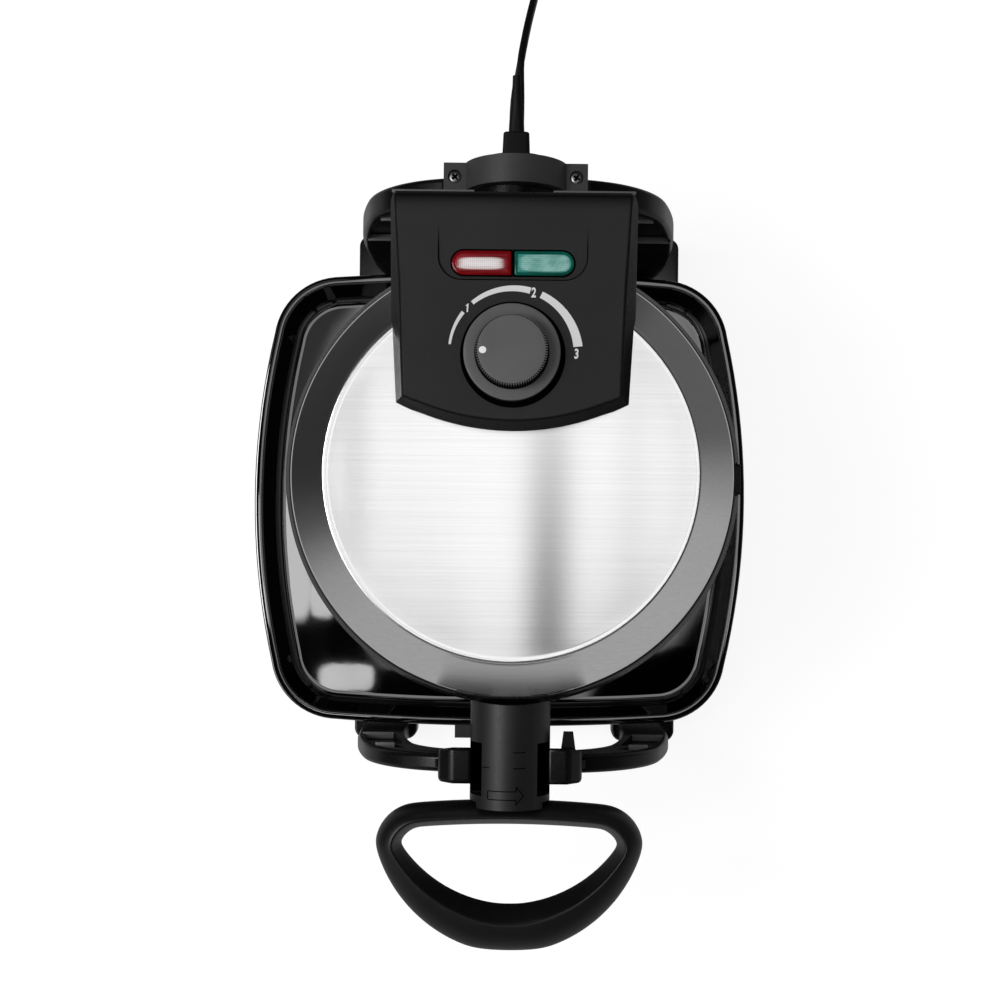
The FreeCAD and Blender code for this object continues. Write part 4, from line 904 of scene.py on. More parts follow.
def makeCover(name, nodeName, body, above, spec):
    inner = spec["radius"] - spec["sheet"]
    level = spec["top"] - spec["sink"]
    under = level - spec["sheet"]
    corners = [
        (inner, spec["lip"]), (spec["radius"], spec["lip"], 0.15), (spec["radius"], spec["knee"], 1.6),
        (spec["flat"] + spec["bead"], spec["top"] - spec["bead"], 0.8),
        (spec["flat"] + spec["crest"], spec["top"], 0.9), (spec["flat"] - spec["bead"], level, 1.0),
        (spec["flat"] - spec["inward"], level), (spec["halfway"], level), (axisGap, level), (axisGap, under),
        (spec["flat"] - spec["bead"], under), (inner, spec["knee"] - spec["kneeDrop"])]
    profile = [(radius, height if above else 2 * axisHeight - height)
               for radius, height in roundedProfile(corners, 6)]
    piece = lathe(name, profile, 240, degrees=60)
    addBrushMap(piece)
    return dress(piece, "lidSteel", body, "brushed_steel", nodeName)


makeCover("lidShell", "lid_cover", "lid", True, cover)
makeCover("lowerShell", "lower_cover", "head", False, cover)
print("covers made")


# drip tray

dripTray = {
    "half": (132.3, 122.5), "middle": (-9.0, -4.6), "sideBow": 400.0, "endBow": 1300.0, "corner": 36.0,
    "sideHalf": 89.0, "endHalf": 90.0, "cornerSteps": 14, "sideSteps": 18,
    # the wall from under the floor, round the rim and down to the basin: inset, height, rounding
    "profile": [(8.2, 14.3, 1.5), (3.5, 33.6, 0.5), (0.0, 33.6, 0.5), (0.0, 36.0, 1.1), (4.4, 36.0, 1.2),
                (9.6, 15.9, 3.4), (13.6, 15.9), (14.4, 15.9), (30.0, 15.9)],
}


def trayRing(spec, inset, height):
    sideBow, endBow, corner = spec["sideBow"] - inset, spec["endBow"] - inset, spec["corner"] - inset
    sideHalf = spec["sideHalf"] * sideBow / spec["sideBow"]
    endHalf = spec["endHalf"] * endBow / spec["endBow"]
    x = spec["half"][0] - spec["sideBow"] + math.sqrt(sideBow ** 2 - sideHalf ** 2)
    y = spec["half"][1] - spec["endBow"] + math.sqrt(endBow ** 2 - endHalf ** 2)
    corners = [(-endHalf, -y, endBow), (endHalf, -y, corner), (x, -sideHalf, sideBow), (x, sideHalf, corner),
               (endHalf, y, endBow), (-endHalf, y, corner), (-x, sideHalf, sideBow), (-x, -sideHalf, corner)]
    ring = []
    for index, (startX, startY, bow) in enumerate(corners):
        stop = corners[(index + 1) % len(corners)]
        steps = spec["cornerSteps"] if bow == corner else spec["sideSteps"]
        ring += arcPoints((startX, startY), stop[:2], bow, steps)
    return [(point.x + spec["middle"][0], point.y + spec["middle"][1], height) for point in ring]


def makeTray(spec):
    # each height's ring is the plan drawn in by the wall's inset there
    rings = [trayRing(spec, inset, height) for inset, height in roundedProfile(spec["profile"], 7)[8:]]
    rings = [trayRing(spec, *spec["profile"][0][:2])] + rings
    piece = stackRings("dripTray", rings, closed=True, degrees=50)
    return dress(piece, "trayEnamel", "tray", "gloss_black", "drip_tray")


makeTray(dripTray)
print("tray made")


# handle

handle = {
    "halfHeight": 12.5, "widest": 167.5, "crown": 1.8, "blunt": 0.6, "passes": 8,
    "outer": {"half": 61.5, "rear": 147.2, "front": 215.9, "corner": 17.5, "palm": 15.0, "sweep": 66.8},
    "ridge": {"half": 53.4, "rear": 153.4, "front": 202.0, "corner": 12.8, "palm": 6.0, "sweep": 66.0},
    "hole": {"half": 49.9, "rear": 158.0, "front": 195.2, "corner": 10.0, "palm": 5.0, "sweep": 62.0},
    "arcSteps": (38, 22, 40, 22, 38, 8), "cornerBow": 1.12, "barBow": 492.0, "palmBow": 159.9,
    "quarter": 12, "crestLean": 16.0, "steep": 0.8, "crestRound": (0.09, 0.16),
    "stub": {"radius": 18.3, "from": 147.05, "to": 151.9, "flat": 149.8},
}


def gripRing(spec, ring):
    cornerX, bar = ring["half"] - ring["corner"], -ring["rear"] - spec["crown"]
    front, bow = spec["blunt"] - ring["front"], ring["corner"] * spec["cornerBow"]
    corners = [(ring["palm"], front, ring["sweep"]), (ring["half"], -spec["widest"], bow),
               (cornerX, bar, spec["barBow"]), (-cornerX, bar, bow),
               (-ring["half"], -spec["widest"], ring["sweep"]), (-ring["palm"], front, spec["palmBow"])]
    points = []
    for index, (x, y, radius) in enumerate(corners):
        points += arcPoints((x, y), corners[(index + 1) % len(corners)][:2], radius, spec["arcSteps"][index])
    return softRing(points, spec["passes"])


def gripSection(spec):
    # the upper half of the section: share of the way out to either side of the crest, share of the height
    first = math.radians(spec["crestLean"])
    count = spec["quarter"]

    def outerRise(reach):
        return math.cos(math.asin(math.sin(first) + reach * (1 - math.sin(first)))) / math.cos(first)

    def innerRise(reach):
        return (1 - reach) ** spec["steep"]

    outward, inward = spec["crestRound"]
    turns = [math.sin(math.radians(90) * step / count) for step in range(count + 1)]
    outer = [outward + (1 - outward) * turn for turn in turns]
    inner = [inward + (1 - inward) * turn for turn in turns]
    near, far = Vector((outward, outerRise(outward))), Vector((-inward, innerRise(inward)))
    crest = [near * (1 - share) ** 2 + Vector((0, 2 * share * (1 - share))) + far * share ** 2
             for share in (0.2, 0.35, 0.5, 0.65, 0.8)]
    points = [(reach, outerRise(reach)) for reach in reversed(outer)] + [tuple(point) for point in crest]
    return points + [(-reach, innerRise(reach)) for reach in inner]


def makeHandle(spec):
    outer, ridge, hole = (gripRing(spec, spec[name]) for name in ("outer", "ridge", "hole"))
    upper = gripSection(spec)
    section = upper + [(reach, -rise) for reach, rise in reversed(upper[1:-1])]
    rings = []
    for out, top, inside in zip(outer, ridge, hole):
        spots = [(top + ((out if reach > 0 else inside) - top) * abs(reach), rise)
                 for reach, rise in section]
        rings.append([(spot.x, spot.y, axisHeight + spec["halfHeight"] * rise) for spot, rise in spots])
    grip = stackRings("handleGrip", rings, degrees=50)
    stub = spec["stub"]
    turns = [math.radians(180 + 180 * step / 32) for step in range(33)]
    arc = [(stub["radius"] * math.cos(turn), stub["flat"] + stub["radius"] * math.sin(turn))
           for turn in turns]
    ends = [[(x, -y, z) for x, z in arc] for y in (stub["from"], stub["to"])]
    root = stackRings("stub", ends, closed=True)
    joinInto(grip, soften(root, 0.4))
    shadeByAngle(grip.data, 50)
    return dress(grip, "gripBlack", "head", "grip_black", "handle_grip")


makeHandle(handle)
print("handle made")


# Geometry Nodes: copies of a small mesh, set round a circle or at the ends of a line

def addInput(tree, label, kind, value):
    socket = tree.interface.new_socket(label, in_out="INPUT", socket_type=kind)
    socket.default_value = value
    return socket.identifier


def startTree(name, inputs):
    tree = bpy.data.node_groups.new(name, "GeometryNodeTree")
    ids = {label: addInput(tree, label, kind, value) for label, kind, value in inputs}
    tree.interface.new_socket("Geometry", in_out="OUTPUT", socket_type="NodeSocketGeometry")
    return tree, ids, tree.nodes.new("NodeGroupInput"), tree.nodes.new("NodeGroupOutput")


def setCopies(tree, points, rotation, source, finish, end, place):
    # instances of the source on the points, moved, made real and painted
    add, link = tree.nodes.new, tree.links.new
    info = add("GeometryNodeObjectInfo")
    info.inputs["Object"].default_value = source
    copies = add("GeometryNodeInstanceOnPoints")
    link(points, copies.inputs["Points"])
    link(info.outputs["Geometry"], copies.inputs["Instance"])
    link(rotation, copies.inputs["Rotation"])
    shift = add("GeometryNodeTransform")
    link(copies.outputs[0], shift.inputs["Geometry"])
    link(place, shift.inputs["Translation"])
    real, paint = add("GeometryNodeRealizeInstances"), add("GeometryNodeSetMaterial")
    paint.inputs["Material"].default_value = finishes[finish]
    link(shift.outputs[0], real.inputs[0])
    link(real.outputs[0], paint.inputs[0])
    link(paint.outputs[0], end.inputs[0])


def ringTree(source, finish):
    tree, ids, start, end = startTree("ringOfCopies", [
        ("Count", "NodeSocketInt", 8), ("Radius", "NodeSocketFloat", 0.01),
        ("Place", "NodeSocketVector", (0, 0, 0))])
    circle = tree.nodes.new("GeometryNodeMeshCircle")
    tree.links.new(start.outputs["Count"], circle.inputs["Vertices"])
    tree.links.new(start.outputs["Radius"], circle.inputs["Radius"])
    face = tree.nodes.new("FunctionNodeAlignRotationToVector")
    face.axis, face.pivot_axis = "X", "Z"
    tree.links.new(tree.nodes.new("GeometryNodeInputPosition").outputs[0], face.inputs["Vector"])
    setCopies(tree, circle.outputs["Mesh"], face.outputs["Rotation"], source, finish, end,
              start.outputs["Place"])
    return tree, ids


def pairTree(source, finish):
    # the second copy is turned on from the first
    tree, ids, start, end = startTree("pairOfCopies", [
        ("Half Apart", "NodeSocketFloat", 0.02), ("Turn", "NodeSocketFloat", 0.3),
        ("Place", "NodeSocketVector", (0, 0, 0))])
    add, link = tree.nodes.new, tree.links.new
    line = add("GeometryNodeMeshLine")
    line.inputs["Count"].default_value = 2
    first, second = add("ShaderNodeCombineXYZ"), add("ShaderNodeCombineXYZ")
    link(mathNode(tree, "MULTIPLY", start.outputs["Half Apart"], -1.0), first.inputs["X"])
    link(mathNode(tree, "MULTIPLY", start.outputs["Half Apart"], 2.0), second.inputs["X"])
    link(first.outputs[0], line.inputs["Start Location"])
    link(second.outputs[0], line.inputs["Offset"])
    turned = add("ShaderNodeCombineXYZ")
    number = mathNode(tree, "ADD", add("GeometryNodeInputIndex").outputs[0], 2.0)
    link(mathNode(tree, "MULTIPLY", number, start.outputs["Turn"]), turned.inputs["Z"])
    setCopies(tree, line.outputs[0], turned.outputs[0], source, finish, end, start.outputs["Place"])
    return tree, ids


def growCopies(name, treeAndIds, source, values, degrees=32):
    tree, ids = treeAndIds
    piece = addObject(name, bpy.data.meshes.new(name))
    modifier = piece.modifiers.new("copies", "NODES")
    modifier.node_group = tree
    for label, value in values.items():
        modifier[ids[label]] = value
    settle(piece, degrees)
    bpy.data.objects.remove(source)
    return piece


# browning dial, its scale and marker

dial = {
    "centre": (0.0, 48.7), "low": 210.3, "skirt": 20.2, "skirtTop": 214.3, "grip": 14.95, "gripTop": 221.8,
    "teeth": 88, "toothDeep": 1.0, "toothWide": 0.5, "toothBevel": 0.12, "toothRoot": 0.3, "toothLow": 1.6,
    "spot": (-11.8, -0.4), "spotRadius": 1.6, "spotDeep": 0.6, "bore": 3.1, "boreTop": 2.0,
    "grooveDeep": 1.4, "grooveLift": (-0.2, 0.04), "grooveOver": (0.1, 0.12),
    # the outer circle's shift towards the front and right is painted shadow
    "shadowShift": (0.35, -0.85), "ringInner": 20.4, "ringOuter": 21.9, "ringLift": (0.01, 0.03),
}


def makeTooth(spec):
    # one upright rib of the knurl, its outer face at zero
    deep, half = spec["toothDeep"] + spec["toothRoot"], spec["toothWide"] / 2
    tall, bevel, crest = spec["gripTop"] - spec["skirtTop"], spec["toothBevel"], half * 0.4
    plan = [(-deep, -half), (-bevel, -half), (0.0, -crest), (0.0, crest), (-bevel, half), (-deep, half)]
    rings = [[(x, y, -spec["toothLow"]) for x, y in plan], [(x, y, tall - 0.3) for x, y in plan],
             [(min(x, -bevel), y * 0.8, tall - bevel) for x, y in plan]]
    return stackRings("tooth", rings, closed=True, degrees=30)


def makeDial(spec):
    low, rim, top, grip = spec["low"], spec["skirtTop"], spec["gripTop"], spec["grip"]
    core, groove, end = grip - spec["toothDeep"], rim - spec["grooveDeep"], top - spec["boreTop"]
    profile = roundedProfile([
        (spec["bore"], low), (spec["skirt"], low, 0.3), (spec["skirt"], rim, 0.9), (grip + 2.6, rim),
        (grip + 0.5, rim, 0.2), (grip + 0.1, groove), (core, groove), (core, top - 0.1, 0.15),
        (grip - 2.2, top, 0.8), (axisGap, top - 0.15), (axisGap, end), (spec["bore"], end)])
    body = lathe("browningDial", profile, 192, spec["centre"], 40)
    tooth = makeTooth(spec)
    place = tuple(Vector((*spec["centre"], rim)) * unit)
    teeth = growCopies("dialTeeth", ringTree(tooth, "dialBlack"), tooth,
                       {"Count": spec["teeth"], "Radius": grip * unit, "Place": place})
    joinInto(body, teeth)
    shadeByAngle(body.data, 40)
    dress(body, "dialBlack", "dial", "grip_black", "browning_dial")
    x, y = (spec["centre"][side] + spec["spot"][side] for side in (0, 1))
    under, reach = top - spec["spotDeep"], spec["spotRadius"]
    spot = lathe("dialMarker", roundedProfile([
        (axisGap, under), (reach, under), (reach, top, 0.25), (axisGap, top)]), 48, (x, y))
    dress(spot, "inkWhite", "dial", "white_mark", "dial_marker")


def makeDialGapShadow(spec):
    # a near-black ring round the dial: partly the real gap, partly painted shadow, so it is wider in front
    # and at right
    x, y = spec["centre"]
    shiftX, shiftY = spec["shadowShift"]
    inner = circlePoints((x, y), spec["ringInner"], 120)
    outer = circlePoints((x + shiftX, y + shiftY), spec["ringOuter"], 120)
    low, high = (panelLevel + lift for lift in spec["ringLift"])
    rings = [[(*point, height) for point in ring] for ring, height in
             ((inner, low), (outer, low), (outer, high), (inner, high))]
    dress(stackRings("dialRing", rings), "paintedShade", "lid", "black_moulding")


def makeDialGrooveShade(spec):
    # a near-black ring on the floor between the knurl and the skirt, painted shade in the groove
    level = spec["skirtTop"] - spec["grooveDeep"]
    low, high = (level + lift for lift in spec["grooveLift"])
    inside = spec["grip"] - spec["toothDeep"] - spec["grooveOver"][0]
    outside = spec["grip"] + spec["grooveOver"][1]
    section = [(inside, low), (outside, low), (outside, high), (inside, high)]
    groove = lathe("dialGroove", section, 120, spec["centre"])
    dress(groove, "paintedShade", "dial", "grip_black")


makeDial(dial)
makeDialGrooveShade(dial)
makeDialGapShadow(dial)

scale = {
    "ink": 0.05, "inner": 25.6, "thin": 1.0, "thick": 3.8, "from": 172.6, "to": 6.0,
    "arcs": [(172.6, 140.6), (129.0, 74.0), (63.9, 6.0)], "stepDegrees": 2.0,
    "numbers": {"2": (8.7, 73.6), "3": (26.7, 48.4)}, "one": (-18.7, 67.2), "tall": 3.9, "slant": 0.07,
    "bold": 0.17, "narrow": 0.7, "inkLow": 0.01, "capShare": 0.7,
}


def arcMark(spec, first, last):
    # one printed stretch that widens clockwise round the dial
    steps = max(int(abs(first - last) / spec["stepDegrees"]), 2)
    low, high = panelLevel + spec["inkLow"], panelLevel + spec["ink"]
    x, y = dial["centre"]
    rings = []
    for step in range(steps + 1):
        angle = first + (last - first) * step / steps
        share = (spec["from"] - angle) / (spec["from"] - spec["to"])
        outer = spec["inner"] + spec["thin"] + (spec["thick"] - spec["thin"]) * share
        turn = math.radians(angle)
        section = ((spec["inner"], low), (outer, low), (outer, high), (spec["inner"], high))
        rings.append([(x + math.cos(turn) * reach, y + math.sin(turn) * reach, level)
                      for reach, level in section])
    return stackRings("arcMark", rings, closed=True)


def numberMark(spec, digit, place):
    text = bpy.data.curves.new("digit" + digit, "FONT")
    text.body = digit
    text.align_x, text.align_y = "CENTER", "CENTER"
    text.size = spec["tall"] * unit / spec["capShare"]
    text.shear = spec["slant"]
    text.offset = spec["bold"] * unit
    text.extrude = (spec["ink"] - spec["inkLow"]) / 2 * unit
    writer = addObject("digit" + digit, text)
    mesh = finalMesh(writer)
    bpy.data.objects.remove(writer)
    mesh.transform(Matrix.Diagonal((spec["narrow"], 1, 1, 1)))
    middle = panelLevel + (spec["ink"] + spec["inkLow"]) / 2
    mesh.transform(Matrix.Translation(Vector((*place, middle)) * unit))
    return addObject("digit" + digit, mesh)


def oneMark(spec):
    # an upright bar with a short flag
    plan = [(0.4, -1.75), (0.4, 1.75), (0.0, 1.75), (-0.25, 1.4), (-0.7, 1.15), (-0.7, 0.7), (-0.24, 0.85),
            (-0.24, -1.75)]
    right, back = spec["one"]
    leaning = [(right + x + y * spec["slant"], back + y) for x, y in plan]
    return prism("digit1", leaning, (panelLevel + spec["inkLow"], panelLevel + spec["ink"]))


def makeScale(spec):
    marks = [arcMark(spec, *arc) for arc in spec["arcs"]]
    marks += [numberMark(spec, digit, place) for digit, place in spec["numbers"].items()]
    piece = joinInto(*marks, oneMark(spec))
    piece.name = "dialScale"
    return dress(piece, "scaleInk", "lid", "white_mark")


makeScale(scale)
print("dial and scale made")


# pilot lamp lenses

lens = {"middle": 86.0, "half": 25.5, "wide": 10.3, "split": 1.2, "low": 205.8, "top": 211.2, "edge": 0.8,
        "corner": 0.5, "border": 1.35, "groove": 0.25, "panelRise": 0.05, "panelEdge": 0.7,
        "panelRound": 0.08, "gapLow": 210.2, "gapTop": 210.75, "gapWide": 0.5}


def lensRing(spec, side, inset, height, steps=20):
    # a pill's half: round at its outer end, square at the split
    radius = spec["wide"] / 2 - inset
    inner = spec["split"] / 2 + inset
    outer = spec["half"] - spec["wide"] / 2
    corner = min(spec["corner"], radius * 0.3)
    ring = [(outer + radius * math.sin(math.pi * step / steps), -radius * math.cos(math.pi * step / steps))
            for step in range(steps + 1)]
    for signY, first in ((1, 90), (-1, 180)):
        for step in range(4):
            angle = math.radians(first + 30 * step)
            ring.append((inner + corner + corner * math.cos(angle),
                         signY * (radius - corner) + corner * math.sin(angle)))
    return [(side * x, spec["middle"] + y, height) for x, y in ring]


def makeLens(spec, name, nodeName, side, rimFinish, panelFinish):
    top, border, edge = spec["top"], spec["border"], spec["edge"]
    rim = [(0, spec["low"]), (0, top - edge), (edge * 0.3, top - edge * 0.3), (edge, top),
           (border - 0.3, top), (border, top - spec["groove"])]
    body = stackRings(name, [lensRing(spec, side, *station) for station in rim], closed=True, degrees=25)
    dress(body, rimFinish, "lid", nodeName, nodeName)
    level = top + spec["panelRise"]
    inside = [(border, top - spec["groove"] * 2), (border, top - spec["groove"]),
              (border + spec["panelEdge"] / 2, level - spec["panelRound"]),
              (border + spec["panelEdge"], level)]
    rings = [lensRing(spec, side, *station) for station in inside]
    panel = stackRings(name + "Panel", rings, closed=True, degrees=25)
    dress(panel, panelFinish, "lid", nodeName)


def makeLensGapShade(spec, name, side):
    # a near-black strip in the gap between a lens and the panel, painted shade in the gap
    low, top, wide = spec["gapLow"], spec["gapTop"], spec["gapWide"]
    section = ((0.1, low), (-wide, low), (-wide, top), (0.1, top))
    rings = [lensRing(spec, side, *station) for station in section]
    dress(stackRings(name, rings), "paintedShade", "lid", "black_moulding")


makeLensGapShade(lens, "redGap", -1)
makeLensGapShade(lens, "greenGap", 1)
makeLens(lens, "redLens", "red_lens", -1, "redRim", "redPanel")
makeLens(lens, "greenLens", "green_lens", 1, "greenRim", "greenPanel")
print("lenses made")


# cap screws

capScrew = {"apart": 27.6, "back": 136.25, "top": 157.4, "head": 3.0, "headTall": 2.4, "shank": 1.7,
            "tip": 132.3, "tipShare": 0.6, "tipLong": 2.0, "rimDrop": 0.55, "crown": 1.9, "turn": 0.35,
            "cross": 1.75, "slot": 0.52, "deep": 1.1, "floor": 0.3, "floorShare": 0.9,
            "cutAbove": 0.4, "cutShares": (1.05, 0.8)}


def crossPlan(spec):
    reach, half = spec["cross"], spec["slot"]
    return [(half, half), (half, reach), (-half, reach), (-half, half), (-reach, half), (-reach, -half),
            (-half, -half), (-half, -reach), (half, -reach), (half, -half), (reach, -half), (reach, half)]


def makeScrew(spec):
    # a pan head with a cross recess, its top at zero
    tip = spec["tip"] - spec["top"]
    shank, head, under = spec["shank"], spec["head"], -spec["headTall"]
    profile = roundedProfile([(axisGap, tip), (shank * spec["tipShare"], tip), (shank, tip + spec["tipLong"]),
                              (shank, under), (head, under), (head, -spec["rimDrop"], 0.4),
                              (spec["crown"], 0.0, 0.5), (axisGap, 0.0)])
    screw = lathe("screw", profile, 48)
    cuts = zip((spec["cutAbove"], -spec["deep"]), spec["cutShares"])
    rings = [[(x * share, y * share, level) for x, y in crossPlan(spec)] for level, share in cuts]
    cutter = stackRings("crossCut", rings, closed=True)
    cutting = screw.modifiers.new("cross", "BOOLEAN")
    cutting.object = cutter
    cutting.operation = "DIFFERENCE"
    cutting.solver = "EXACT"
    settle(screw, 30)
    bpy.data.objects.remove(cutter)
    return screw


def makeScrews(spec):
    values = {"Half Apart": spec["apart"] * unit, "Turn": spec["turn"],
              "Place": tuple(Vector((0, spec["back"], spec["top"])) * unit)}
    screw = makeScrew(spec)
    piece = growCopies("capScrews", pairTree(screw, "darkScrew"), screw, values, 30)
    dress(piece, "darkScrew", "stand", "dark_screw", "left_cap_screw", "right_cap_screw")
    # near-black crosses at the floor of each recess: painted shade in the recesses
    plan = [(x * spec["floorShare"], y * spec["floorShare"]) for x, y in crossPlan(spec)]
    recess = prism("crossFloor", plan, (-spec["deep"], -spec["floor"]))
    shadePlates = growCopies("crossFloors", pairTree(recess, "paintedShade"), recess, values, 30)
    dress(shadePlates, "paintedShade", "stand", "dark_screw")


makeScrews(capScrew)
print("screws made")


# engraved marks on the upper neck, drawn as near-black strips in painted shade

neckMarks = {
    "radius": 18.3, "lifts": (-0.2, 0.03), "line": 0.42,
    "arrow": {"y": -142.4, "from": -9.6, "neck": 3.1, "tip": 6.5, "shaftHalf": 1.9, "headHalf": 4.05},
    "dashes": [(1.8, 7.1, -123.1), (1.8, 7.1, -130.2), (-12.2, -8.9, -130.2)],
}


def neckStrip(spec, start, stop, steps=10):
    # a thin line drawn on the round neck from one (x, y) to another
    start, stop = Vector(start), Vector(stop)
    along = (stop - start).normalized()
    aside = Vector((-along.y, along.x)) * spec["line"] / 2
    low, high = spec["lifts"]
    rings = []
    for step in range(steps + 1):
        spot = start.lerp(stop, step / steps)
        ring = []
        for side, lift in ((-1, low), (1, low), (1, high), (-1, high)):
            place = spot + aside * side
            height = axisHeight + math.sqrt(spec["radius"] ** 2 - place.x ** 2) + lift
            ring.append((place.x, place.y, height))
        rings.append(ring)
    return stackRings("strip", rings, closed=True)


def makeNeckMarks(spec):
    arrow = spec["arrow"]
    y, shaft, wide = arrow["y"], arrow["shaftHalf"], arrow["headHalf"]
    tail, neck = arrow["from"], arrow["neck"]
    outline = [(tail, y - shaft), (neck, y - shaft), (neck, y - wide), (arrow["tip"], y), (neck, y + wide),
               (neck, y + shaft), (tail, y + shaft)]
    strips = [neckStrip(spec, *ends) for ends in zip(outline, outline[1:] + outline[:1])]
    strips += [neckStrip(spec, (left, back), (right, back)) for left, right, back in spec["dashes"]]
    piece = joinInto(*strips)
    piece.name = "neckMarks"
    return dress(piece, "paintedShade", "lid", "black_moulding")


makeNeckMarks(neckMarks)

neckGap = {"from": 12.3, "to": 18.1, "front": -143.3, "rear": -119.6, "low": 148.6, "top": 149.84}


def makeNeckGapShade(spec):
    # a near-black plate at the bottom of the notch on each side of the neck, painted shade in the notch
    low, high = (spec["from"], spec["front"]), (spec["to"], spec["rear"])
    plates = [prism("neckGaps", boxPlan(low, high, side), (spec["low"], spec["top"])) for side in (-1, 1)]
    piece = joinInto(*plates)
    piece.name = "neckGaps"
    dress(piece, "paintedShade", "head", "black_moulding")


makeNeckGapShade(neckGap)


# carried-over mouldings, with softened edges: finish, body, slot, rounding

softened = {
    "upper_bezel": ("bezelBlack", "lid", "black_moulding", 0.5),
    "lower_bezel": ("bezelBlack", "head", "black_moulding", 0.5),
    "upper_release_button": ("bezelBlack", "upper_catch", "black_moulding", 0.35),
    "lower_release_button": ("bezelBlack", "lower_catch", "black_moulding", 0.35),
    "upper_neck": ("neckBlack", "lid", "black_moulding", 0.35),
    "lower_neck": ("neckBlack", "head", "black_moulding", 0.35),
    "front_arch": ("archBlack", "stand", "gloss_black", 0.0),
    "rear_arch": ("archBlack", "stand", "gloss_black", 0.0),
    "rear_bearing_cap": ("capBlack", "stand", "black_moulding", 0.5),
    "left_rail": ("glossBlack", "stand", "gloss_black", 1.2),
    "right_rail": ("glossBlack", "stand", "gloss_black", 1.2),
    "rear_yoke": ("bezelBlack", "head", "black_moulding", 0.4),
    "control_housing": ("panelBlack", "lid", "black_moulding", 0.45),
    "power_plug": ("gripBlack", "stand", "plug_black", 1.6),
    "plug_blades": ("bladeBrass", "stand", "blade_brass", 0.3),
    "upper_grid_plate": ("nonStick", "lid", "nonstick", 0.7),
    "lower_grid_plate": ("nonStick", "head", "nonstick", 0.7),
    "front_left_foot": ("footRubber", "stand", "foot_rubber", 0.5),
    "front_right_foot": ("footRubber", "stand", "foot_rubber", 0.5),
    "rear_left_foot": ("footRubber", "stand", "foot_rubber", 0.5),
    "rear_right_foot": ("footRubber", "stand", "foot_rubber", 0.5),
}
keptNodes = {
    "upper_heating_element": "heaterTube", "lower_heating_element": "heaterTube",
    "upper_heat_shield": "sheetMetal", "lower_heat_shield": "sheetMetal", "hinge_pin": "zincPin",
    "thermostat": "innerMoulding", "lamp_holder": "innerMoulding",
}


def camelName(words):
    first, *rest = words.split("_")
    return first + "".join(word.capitalize() for word in rest)


knuckles = {
    "boxes": [((-38, -152, 118), (-13, -121, 176)), ((13, -152, 118), (38, -121, 176))], "round": 2.2,
    "longerThan": 4.0, "draftFrom": 158.0, "draftTo": 132.0, "barRear": -128.7,
    "finger": {"left": 22.5, "right": 30.5, "root": -122.1, "end": -115.4, "clear": 0.2, "narrow": 0.34,
               "slant": 3.0, "slantTall": 10.0},
}


def shapeKnuckles(piece, spec):
    # rounds the cradle's cheeks, draws their rear faces in towards the bar below and tapers the stop finger
    roundWithin(piece, spec["boxes"], spec["round"], spec["longerThan"])
    finger = spec["finger"]
    middle = (finger["left"] + finger["right"]) / 2
    for vertex in piece.data.vertices:
        x, y, z = vertex.co / unit
        low = clamp((spec["draftFrom"] - z) / (spec["draftFrom"] - spec["draftTo"]))
        if y > finger["root"] + finger["clear"] and finger["left"] < x < finger["right"]:
            share = (y - finger["root"]) / (finger["end"] - finger["root"])
            x = middle + (x - middle) * (1 - finger["narrow"] * share)
            y -= finger["slant"] * clamp((axisHeight - z) / finger["slantTall"]) * share
        elif y > spec["barRear"]:
            y += (spec["barRear"] - y) * low
        vertex.co = Vector((x, y, z)) * unit
    shadeByAngle(piece.data, 34)


inset = {"half": 31.0, "front": 79.0, "rear": 103.0, "deep": 0.8, "corner": 9.5, "slack": 0.1,
         "line": 0.42, "lineTo": 100.0, "lineEnd": 0.15, "lineLifts": (-0.05, 0.02), "straight": 4}

# how far the housing's side walls stand out at their top and foot: distance to the rear, shift
housingSides = {"beyond": 40.0, "high": 209.6, "foot": 190.0, "nearLid": 0.8, "sunk": 0.1,
                "topShift": [(30, -0.8), (107, 0.5)],
                "footShift": [(30, 1.0), (65, 2.4), (107, 1.6)]}


def shiftAt(stops, place):
    for (start, low), (stop, high) in zip(stops, stops[1:]):
        if place <= stop:
            return low + (high - low) * max((place - start) / (stop - start), 0)
    return stops[-1][1]


def coverTop(radius):
    fall = (cover["top"] - cover["knee"]) / (cover["radius"] - cover["flat"])
    return cover["top"] - max(radius - cover["flat"], 0) * fall


def leanSides(solid, spec):
    # leans the side walls out towards their foot, which stays on the lid
    for vertex in solid.verts:
        x, y, z = vertex.co / unit
        if abs(x) < spec["beyond"]:
            continue
        share = clamp((z - spec["foot"]) / (spec["high"] - spec["foot"]))
        shift = shiftAt(spec["topShift"], y) * share + shiftAt(spec["footShift"], y) * (1 - share)
        onLid = abs(z - coverTop(math.hypot(x, y))) < spec["nearLid"] and z > cover["knee"] - 1
        x += math.copysign(shift, x)
        if onLid:
            z = coverTop(math.hypot(x, y)) - spec["sunk"]
        vertex.co = Vector((x, y, z)) * unit


def shapeHousing(solid):
    # the inset round the lenses fades out towards its rear, and the side walls lean
    slack = inset["slack"]
    for vertex in solid.verts:
        x, y, z = vertex.co / unit
        onFloor = abs(z - panelLevel + inset["deep"]) < slack / 2 and abs(x) < inset["half"] + slack
        if onFloor and inset["front"] - slack < y < inset["rear"] + slack:
            share = clamp((inset["rear"] - y) / (inset["rear"] - inset["front"]))
            vertex.co.z = (panelLevel - inset["deep"] * share) * unit
    leanSides(solid, housingSides)
    bmesh.ops.remove_doubles(solid, verts=solid.verts, dist=2e-5)
    bmesh.ops.dissolve_degenerate(solid, dist=2e-5, edges=solid.edges)


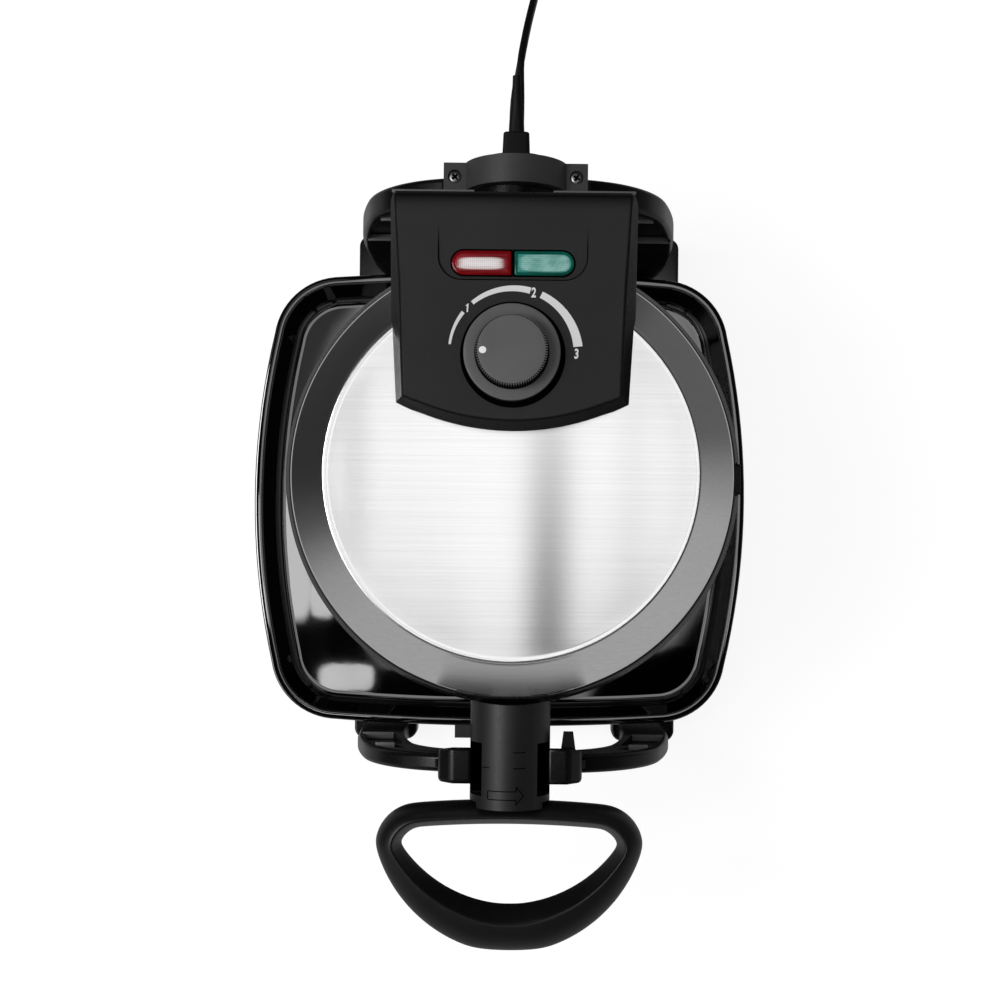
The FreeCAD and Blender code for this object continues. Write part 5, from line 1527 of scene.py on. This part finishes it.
def makeInsetShadeLine(spec):
    # a fine near-black line at the foot of the inset's wall, painted shade where the wall meets the floor,
    # open at the rear
    half, corner = spec["half"], spec["corner"]
    bend = spec["front"] + corner + spec["straight"]
    path = [Vector((-half, spec["lineTo"])), Vector((-half, bend))]
    for side, first in ((-1, 180), (1, 270)):
        middle = Vector((side * (half - corner), spec["front"] + corner))
        turns = [math.radians(first + 90 * step / 10) for step in range(11)]
        path += [middle + Vector((math.cos(turn), math.sin(turn))) * corner for turn in turns]
    path += [Vector((half, bend)), Vector((half, spec["lineTo"]))]
    low, high = spec["lineLifts"]
    rings = []
    for index, point in enumerate(path):
        along = (path[min(index + 1, len(path) - 1)] - path[max(index - 1, 0)]).normalized()
        aside = Vector((along.y, -along.x)) * spec["line"] / 2
        width = spec["lineEnd"] if index in (0, len(path) - 1) else 1.0
        rings.append([(*(point + aside * side * width), panelLevel + lift)
                      for side, lift in ((-1, low), (1, low), (1, high), (-1, high))])
    dress(stackRings("insetLine", rings, closed=True), "paintedShade", "lid", "black_moulding")


makeInsetShadeLine(inset)

# small ribs that close the legs' recesses below, and lips on the housing's rear edge: low and high corners;
# they are painted in the lighter dial grey, so the ribs read as lit and the lips as a highlight line
ledges = {
    "legLedges": ("stand", "black_moulding", [
        ((62.3, -131.5, 58.1), (78.7, -127.9, 59.2)), ((57.4, -131.5, 103.1), (67.0, -127.3, 104.2)),
        ((62.3, 129.2, 58.1), (78.7, 132.8, 59.2)), ((57.4, 128.8, 103.1), (67.0, 132.8, 104.2))]),
    "rearLips": ("lid", "black_moulding", [
        ((16.6, 116.9, 200.6), (51.4, 118.4, 203.0)), ((16.6, 115.0, 203.0), (50.4, 116.7, 205.3))]),
}


ledgeRound = 0.3


def makeLedges(name, body, slotName, corners):
    slabs = []
    for low, high in corners:
        for side in (-1, 1):
            slabs.append(soften(prism(name, boxPlan(low, high, side), (low[2], high[2])), ledgeRound))
    piece = joinInto(*slabs)
    piece.name = name
    # painted light: the lighter dial grey stands in for light on the ribs and lips
    dress(piece, "dialBlack", body, slotName)


for ledgeName, ledgeSpec in ledges.items():
    makeLedges(ledgeName, *ledgeSpec)


def carryOver():
    for nodeName, (finish, body, slotName, width) in softened.items():
        reshape = shapeHousing if nodeName == "control_housing" else None
        piece = softCopy(nodeName, camelName(nodeName), width, reshape)
        if nodeName == "front_arch":
            shapeKnuckles(piece, knuckles)
        weighNormals(piece)
        dress(piece, finish, body, slotName, nodeName)
    for nodeName, finish in keptNodes.items():
        nodes[nodeName].data.materials.clear()
        nodes[nodeName].data.materials.append(finishes[finish])


carryOver()
print("mouldings carried over,", len(softened))
